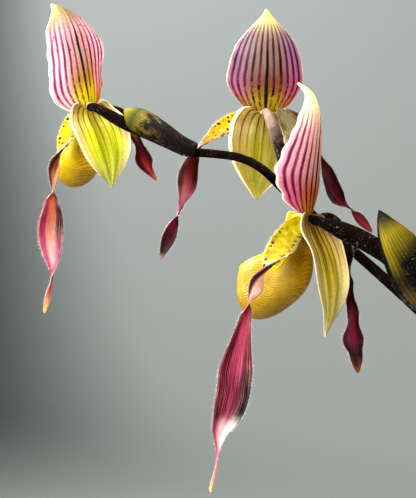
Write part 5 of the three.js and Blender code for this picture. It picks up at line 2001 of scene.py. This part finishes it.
BLOOMS: Sequence[BloomPlan] = (
    BloomPlan(
        letter="a",
        centre=(-225, 76, 470.1),
        dorsal=Turn(57, roll=8, pitch=20, length=1.03, lift=-0.8, skew=1.8, wave=1.7, phase=0.4),
        synsepal=Turn(62, roll=12, length=0.79, width=0.8, bend=0.81, lift=4, phase=1.9),
        pouch=Turn(62, roll=2, scale=0.87),
        dorsal_rows=(
            (-0.7, 2.35, 12.6, 50, 9, 50), (-2.6, 8, 17.2, 54, 12.4, 54), (-4.4, 15, 18, 50, 14.6, 52),
            (-6, 23, 15.8, 48, 17.4, 46), (-7.2, 31, 15, 46, 18, 42), (-7.3, 38.5, 13.8, 44, 15.8, 40),
            (-5.2, 45.5, 9.6, 44, 11, 40), (-0.4, 52.5, 4.2, 44, 5, 40), (6.6, 58, 0.6, 44, 0.6, 40),
        ),
        petals={
            "near": (
                (-3.6, 0.3, -0.3, 1.3, 0), (-7.3, -4, -7.5, 3.8, 4), (-10, -10.5, -18, 4.6, 45),
                (-13, -12, -25.5, 3.4, 100), (-15, -13, -32, 2.6, 170), (-15.5, -13, -40.5, 1.3, 255),
                (-16, -13, -46, 3, 340), (-16, -13, -53, 5.2, 355), (-16.5, -13, -60.5, 6.1, 360),
                (-16, -13, -68.5, 5, 365), (-15.5, -13, -75, 2.7, 380), (-16, -13, -82.5, 0.9, 440),
                (-17.5, -13, -89.5, 1.5, 510), (-19.5, -13, -98, 0.8, 540),
            ),
            "far": (
                (1.8, 2.7, 0, 1.7, 0), (8, 12, -1.5, 4.6, 8), (14, 23, -3.5, 5, 12), (18, 32, -7.5, 3, 18),
                (20.5, 37, -12, 2.2, 20), (22.5, 42, -16.5, 3.2, 12), (23.5, 46, -21.5, 4.6, 0),
                (25.5, 50, -26, 2.8, -20), (29.5, 56, -31.5, 0.7, -50),
            ),
        },
    ),
    BloomPlan(
        letter="b",
        centre=(-139.3, 101, 470.4),
        dorsal=Turn(88, roll=-1, length=0.96, lift=0.5, phase=2.6),
        synsepal=Turn(92, roll=-6, length=0.88, width=0.97, bend=0.88, lift=4, phase=0.7),
        pouch=Turn(88, roll=-3, scale=0.88),
        dorsal_rows=(
            (-0.7, 2.35, 12.4, 50), (-2.6, 8, 19, 54), (-4.4, 15, 22, 50), (-6, 23, 20.6, 46),
            (-7.2, 31, 18.1, 42), (-7.3, 38.5, 14.4, 40), (-5.6, 45.5, 8.4, 40), (-1.5, 51.5, 2.5, 42),
            (4.5, 55, 0.6, 42),
        ),
        petals={
            "left": (
                (-2.7, 1.2, 0, 1.9, 0), (-9, 1.8, -2.6, 4.8, 8), (-17, -0.5, -5.5, 5, 20),
                (-23.5, -4, -10, 4.8, 30), (-29, -5, -14.5, 3.2, 55), (-33, -6, -18.5, 2.2, 100),
                (-36, -6, -24, 3.4, 150), (-38.5, -6, -31.5, 5, 175), (-39.5, -6, -38.5, 4.4, 185),
                (-42, -6, -45.5, 1.9, 210), (-43.5, -6, -50.5, 0.9, 270), (-46, -6, -56.5, 2.6, 335),
                (-48.5, -6, -63.5, 3.4, 355), (-52.5, -6, -73.5, 0.7, 370),
            ),
            "right": (
                (2.7, 1.4, 0, 1.9, 0), (9.5, 2.4, -2, 4.8, -8), (16.5, 1, -5.5, 5, -15), (22, 0, -11, 3.8, -25),
                (25.5, -1, -16.5, 2.2, -60), (28, -1, -22.5, 2, -110), (31, -2, -30, 3.1, -155),
                (33.5, -2, -36.5, 3.9, -175), (36.5, -2, -42.5, 3.9, -190), (40, -2, -46, 2.2, -215),
                (42.5, -2, -48, 0.9, -270), (46, -2, -51.5, 2.2, -335), (49, -2, -55, 2.5, -355),
                (53.5, -2, -60, 0.7, -370),
            ),
        },
    ),
    BloomPlan(
        letter="c",
        centre=(-126.6, 6, 414.8),
        dorsal=Turn(24, bend=0.75, lift=1, phase=1.2),
        synsepal=Turn(41, roll=2, length=0.98, width=0.78, slim=0.78, bend=0.75, lift=4, phase=3.3),
        pouch=Turn(41),
        dorsal_rows=(
            (-0.7, 2.35, 9.8, 50, 9.5, 44), (-2.3, 8, 17.6, 60, 17.5, 40), (-3.7, 15, 23.2, 60, 21.5, 36),
            (-4.8, 23, 19.8, 62, 20.5, 44), (-5.7, 31, 17, 60, 18.5, 56), (-6.3, 38.5, 13, 58, 13, 58),
            (-5.2, 46, 8.8, 54, 7.5, 56), (-1.3, 52, 4.4, 50, 3.4, 50), (6.2, 56, 0.6, 45, 0.6, 45),
        ),
        petals={
            "near": (
                (-3, -1, 0, 1.7, 0), (-7, -4, -4.6, 4.2, 0), (-12, -12.6, -12.5, 5.6, 28),
                (-16.5, -20, -19, 4.6, 65), (-21.5, -23, -26, 3.7, 150), (-25, -24, -32.5, 1.4, 250),
                (-27, -24, -40.5, 2.4, 340), (-29, -24, -50.5, 4.6, 355), (-30.5, -24, -60, 6.6, 362),
                (-31.5, -23, -69.5, 6.6, 368), (-33.5, -22, -77.5, 5.8, 378), (-36.5, -22, -85, 4, 400),
                (-37.5, -21, -95, 1.5, 445), (-40.5, -20, -109, 0.8, 500),
            ),
            "far": (
                (0.9, 3.2, 0, 1.7, 0), (4.2, 7.6, -0.8, 3, 10), (10.5, 12.6, -2, 5, 25), (16, 17, -9.5, 5, 40),
                (19, 20, -18.5, 4, 65), (20.5, 21, -27.5, 2.2, 120), (20.5, 21, -35, 2.3, 165),
                (21.5, 21, -40, 2.5, 178), (21.5, 21, -45.5, 2.6, 182), (21.5, 21, -52, 4.7, 186),
                (22.5, 21, -57.5, 3.1, 195), (23, 21, -62, 2.4, 205), (23.5, 21, -66.5, 0.7, 215),
            ),
        },
    ),
)

POUCHES: Mapping[str, Mapping[str, Stops]] = {
    "a": {},
    "b": {},
    "c": {
        "ground": (
            (0, 0xA88C10), (0.3, 0xB09418), (0.6, 0xC0A428), (0.8, 0xC4AC48), (0.92, 0xC8B42C), (1, 0xCCBC14)
        )
    },
}


@dataclass(frozen=True)
class Palette:
    """The materials that several pieces share."""

    pouch: Mapping[str, Material]
    column: Material
    hub: Material
    pale_hair: Material
    wart: Material


@dataclass(frozen=True)
class Bloom:
    """One bloom: dorsal sepal, synsepal, pouch, column and two petals, with their hairs and warts."""

    plan: BloomPlan
    palette: Palette
    cilia: Fringe = Fringe(Scatter(Small.HAIR, length=1.3, radius=0.06, lean=0.35, seed=4), 0.7, 0.03, 0.97)
    down: Fringe = Fringe(Scatter(Small.HAIR, length=0.4, radius=0.035, lean=0.3, seed=6), 0.4, 0.05, 0.97)
    warts: Fringe = Fringe(
        Scatter(Small.WART, length=1.0, radius=0.95, lean=0.2, smallest=0.4, seed=2), 2.9, 0.08, 0.27, inset=2
    )

    def build(self) -> None:
        """Makes the bloom's pieces, then the fine hairs of its margins and the warts of its petals."""
        plan, palette, name = self.plan, self.palette, "bloom_" + self.plan.letter
        upper, lower = (SEPAL_FINISHES[f"{plan.letter}_{part}"].dress() for part in ("dorsal", "synsepal"))
        dorsal = DorsalSepal(name + "_dorsal_sepal", plan.dorsal_rows, plan.dorsal, plan.centre, upper)
        synsepal = Synsepal(name + "_synsepal", SYNSEPAL_ROWS, plan.synsepal, plan.centre, lower)
        sepals = [dorsal.build(), synsepal.build()]
        Pouch(name + "_pouch", plan.pouch, plan.centre, palette.pouch[plan.letter]).build()
        column = Column(name, plan.pouch, plan.centre)
        column.build(palette.column)
        column.build_hub(palette.hub)
        petals = []
        for side, (label, rows) in enumerate(plan.petals.items()):
            tissue = PETAL_FINISHES[f"{plan.letter}_{label}"].dress()
            petals.append(Petal(f"{name}_petal_{label}", rows, plan.centre, 2.0 * side, tissue).build())
        self.cilia.build(name + "_petal_cilia", petals, "petal", palette.pale_hair)
        self.down.build(name + "_sepal_cilia", sepals, "sepal", palette.pale_hair)
        self.warts.build(name + "_petal_warts", petals, "petal", palette.wart)


def main() -> None:
    """Builds the studio, the pot, the leaves, the stem and the blooms in order."""
    logging.basicConfig(level=logging.INFO, format="%(name)s: %(message)s")
    Studio().build()
    crowns = {"old": Crown(0, 0, 75), "young": Crown(12, -28, 56)}
    pot = Pot(FiredClay("fired_clay").dress())
    pot.build()
    moss = PlainTissue("moss_leaves", 0x2F4A16, 0x6A8A2A).dress()
    BarkBed(pot, tuple(crowns.values()), FirBark("fir_bark").dress(), moss).build()
    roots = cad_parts["rhizome_and_roots"]
    roots.data.materials.clear()
    roots.data.materials.append(PlainTissue("root_velamen", 0x5A4630, 0x9A8662, 3.0).dress())
    strap = LeafBlade("strap_leaf").dress()
    for number, (crown, *sizes) in enumerate(LEAVES, 1):
        Leaf(f"leaf_{number}", crowns[crown], strap, *sizes).build()
    pale_hair = PlainTissue("pale_hairs", 0xD0C8C0, 0xF6F2EE, 4.0).dress()
    dark_hair = PlainTissue("stem_hairs", 0x140E0C, 0xDCD4CC, 3.0).dress()
    FlowerStem(StemSkin("stem_skin").dress(), dark_hair).build()
    for letter, rows in BRACT_ROWS.items():
        hair = pale_hair if letter == "b" else dark_hair
        Bract("bract_" + letter, rows, BRACT_FINISHES[letter].dress(), hair).build()
    palette = Palette(
        pouch={letter: PouchTissue("pouch_tissue_" + letter, **more).dress() for letter, more in POUCHES.items()},
        column=PlainTissue("column_wax", 0xA8941E, 0xD8CE5A, 3.0).dress(),
        hub=PlainTissue("hub_skin", 0x6A3A1E, 0xC9A070, 1.6).dress(),
        pale_hair=pale_hair,
        wart=PlainTissue("petal_warts", 0x1C070C, 0x4A1A1E, 1.5).dress(),
    )
    for plan in BLOOMS:
        Bloom(plan, palette).build()


if __name__ == "__main__":
    main()
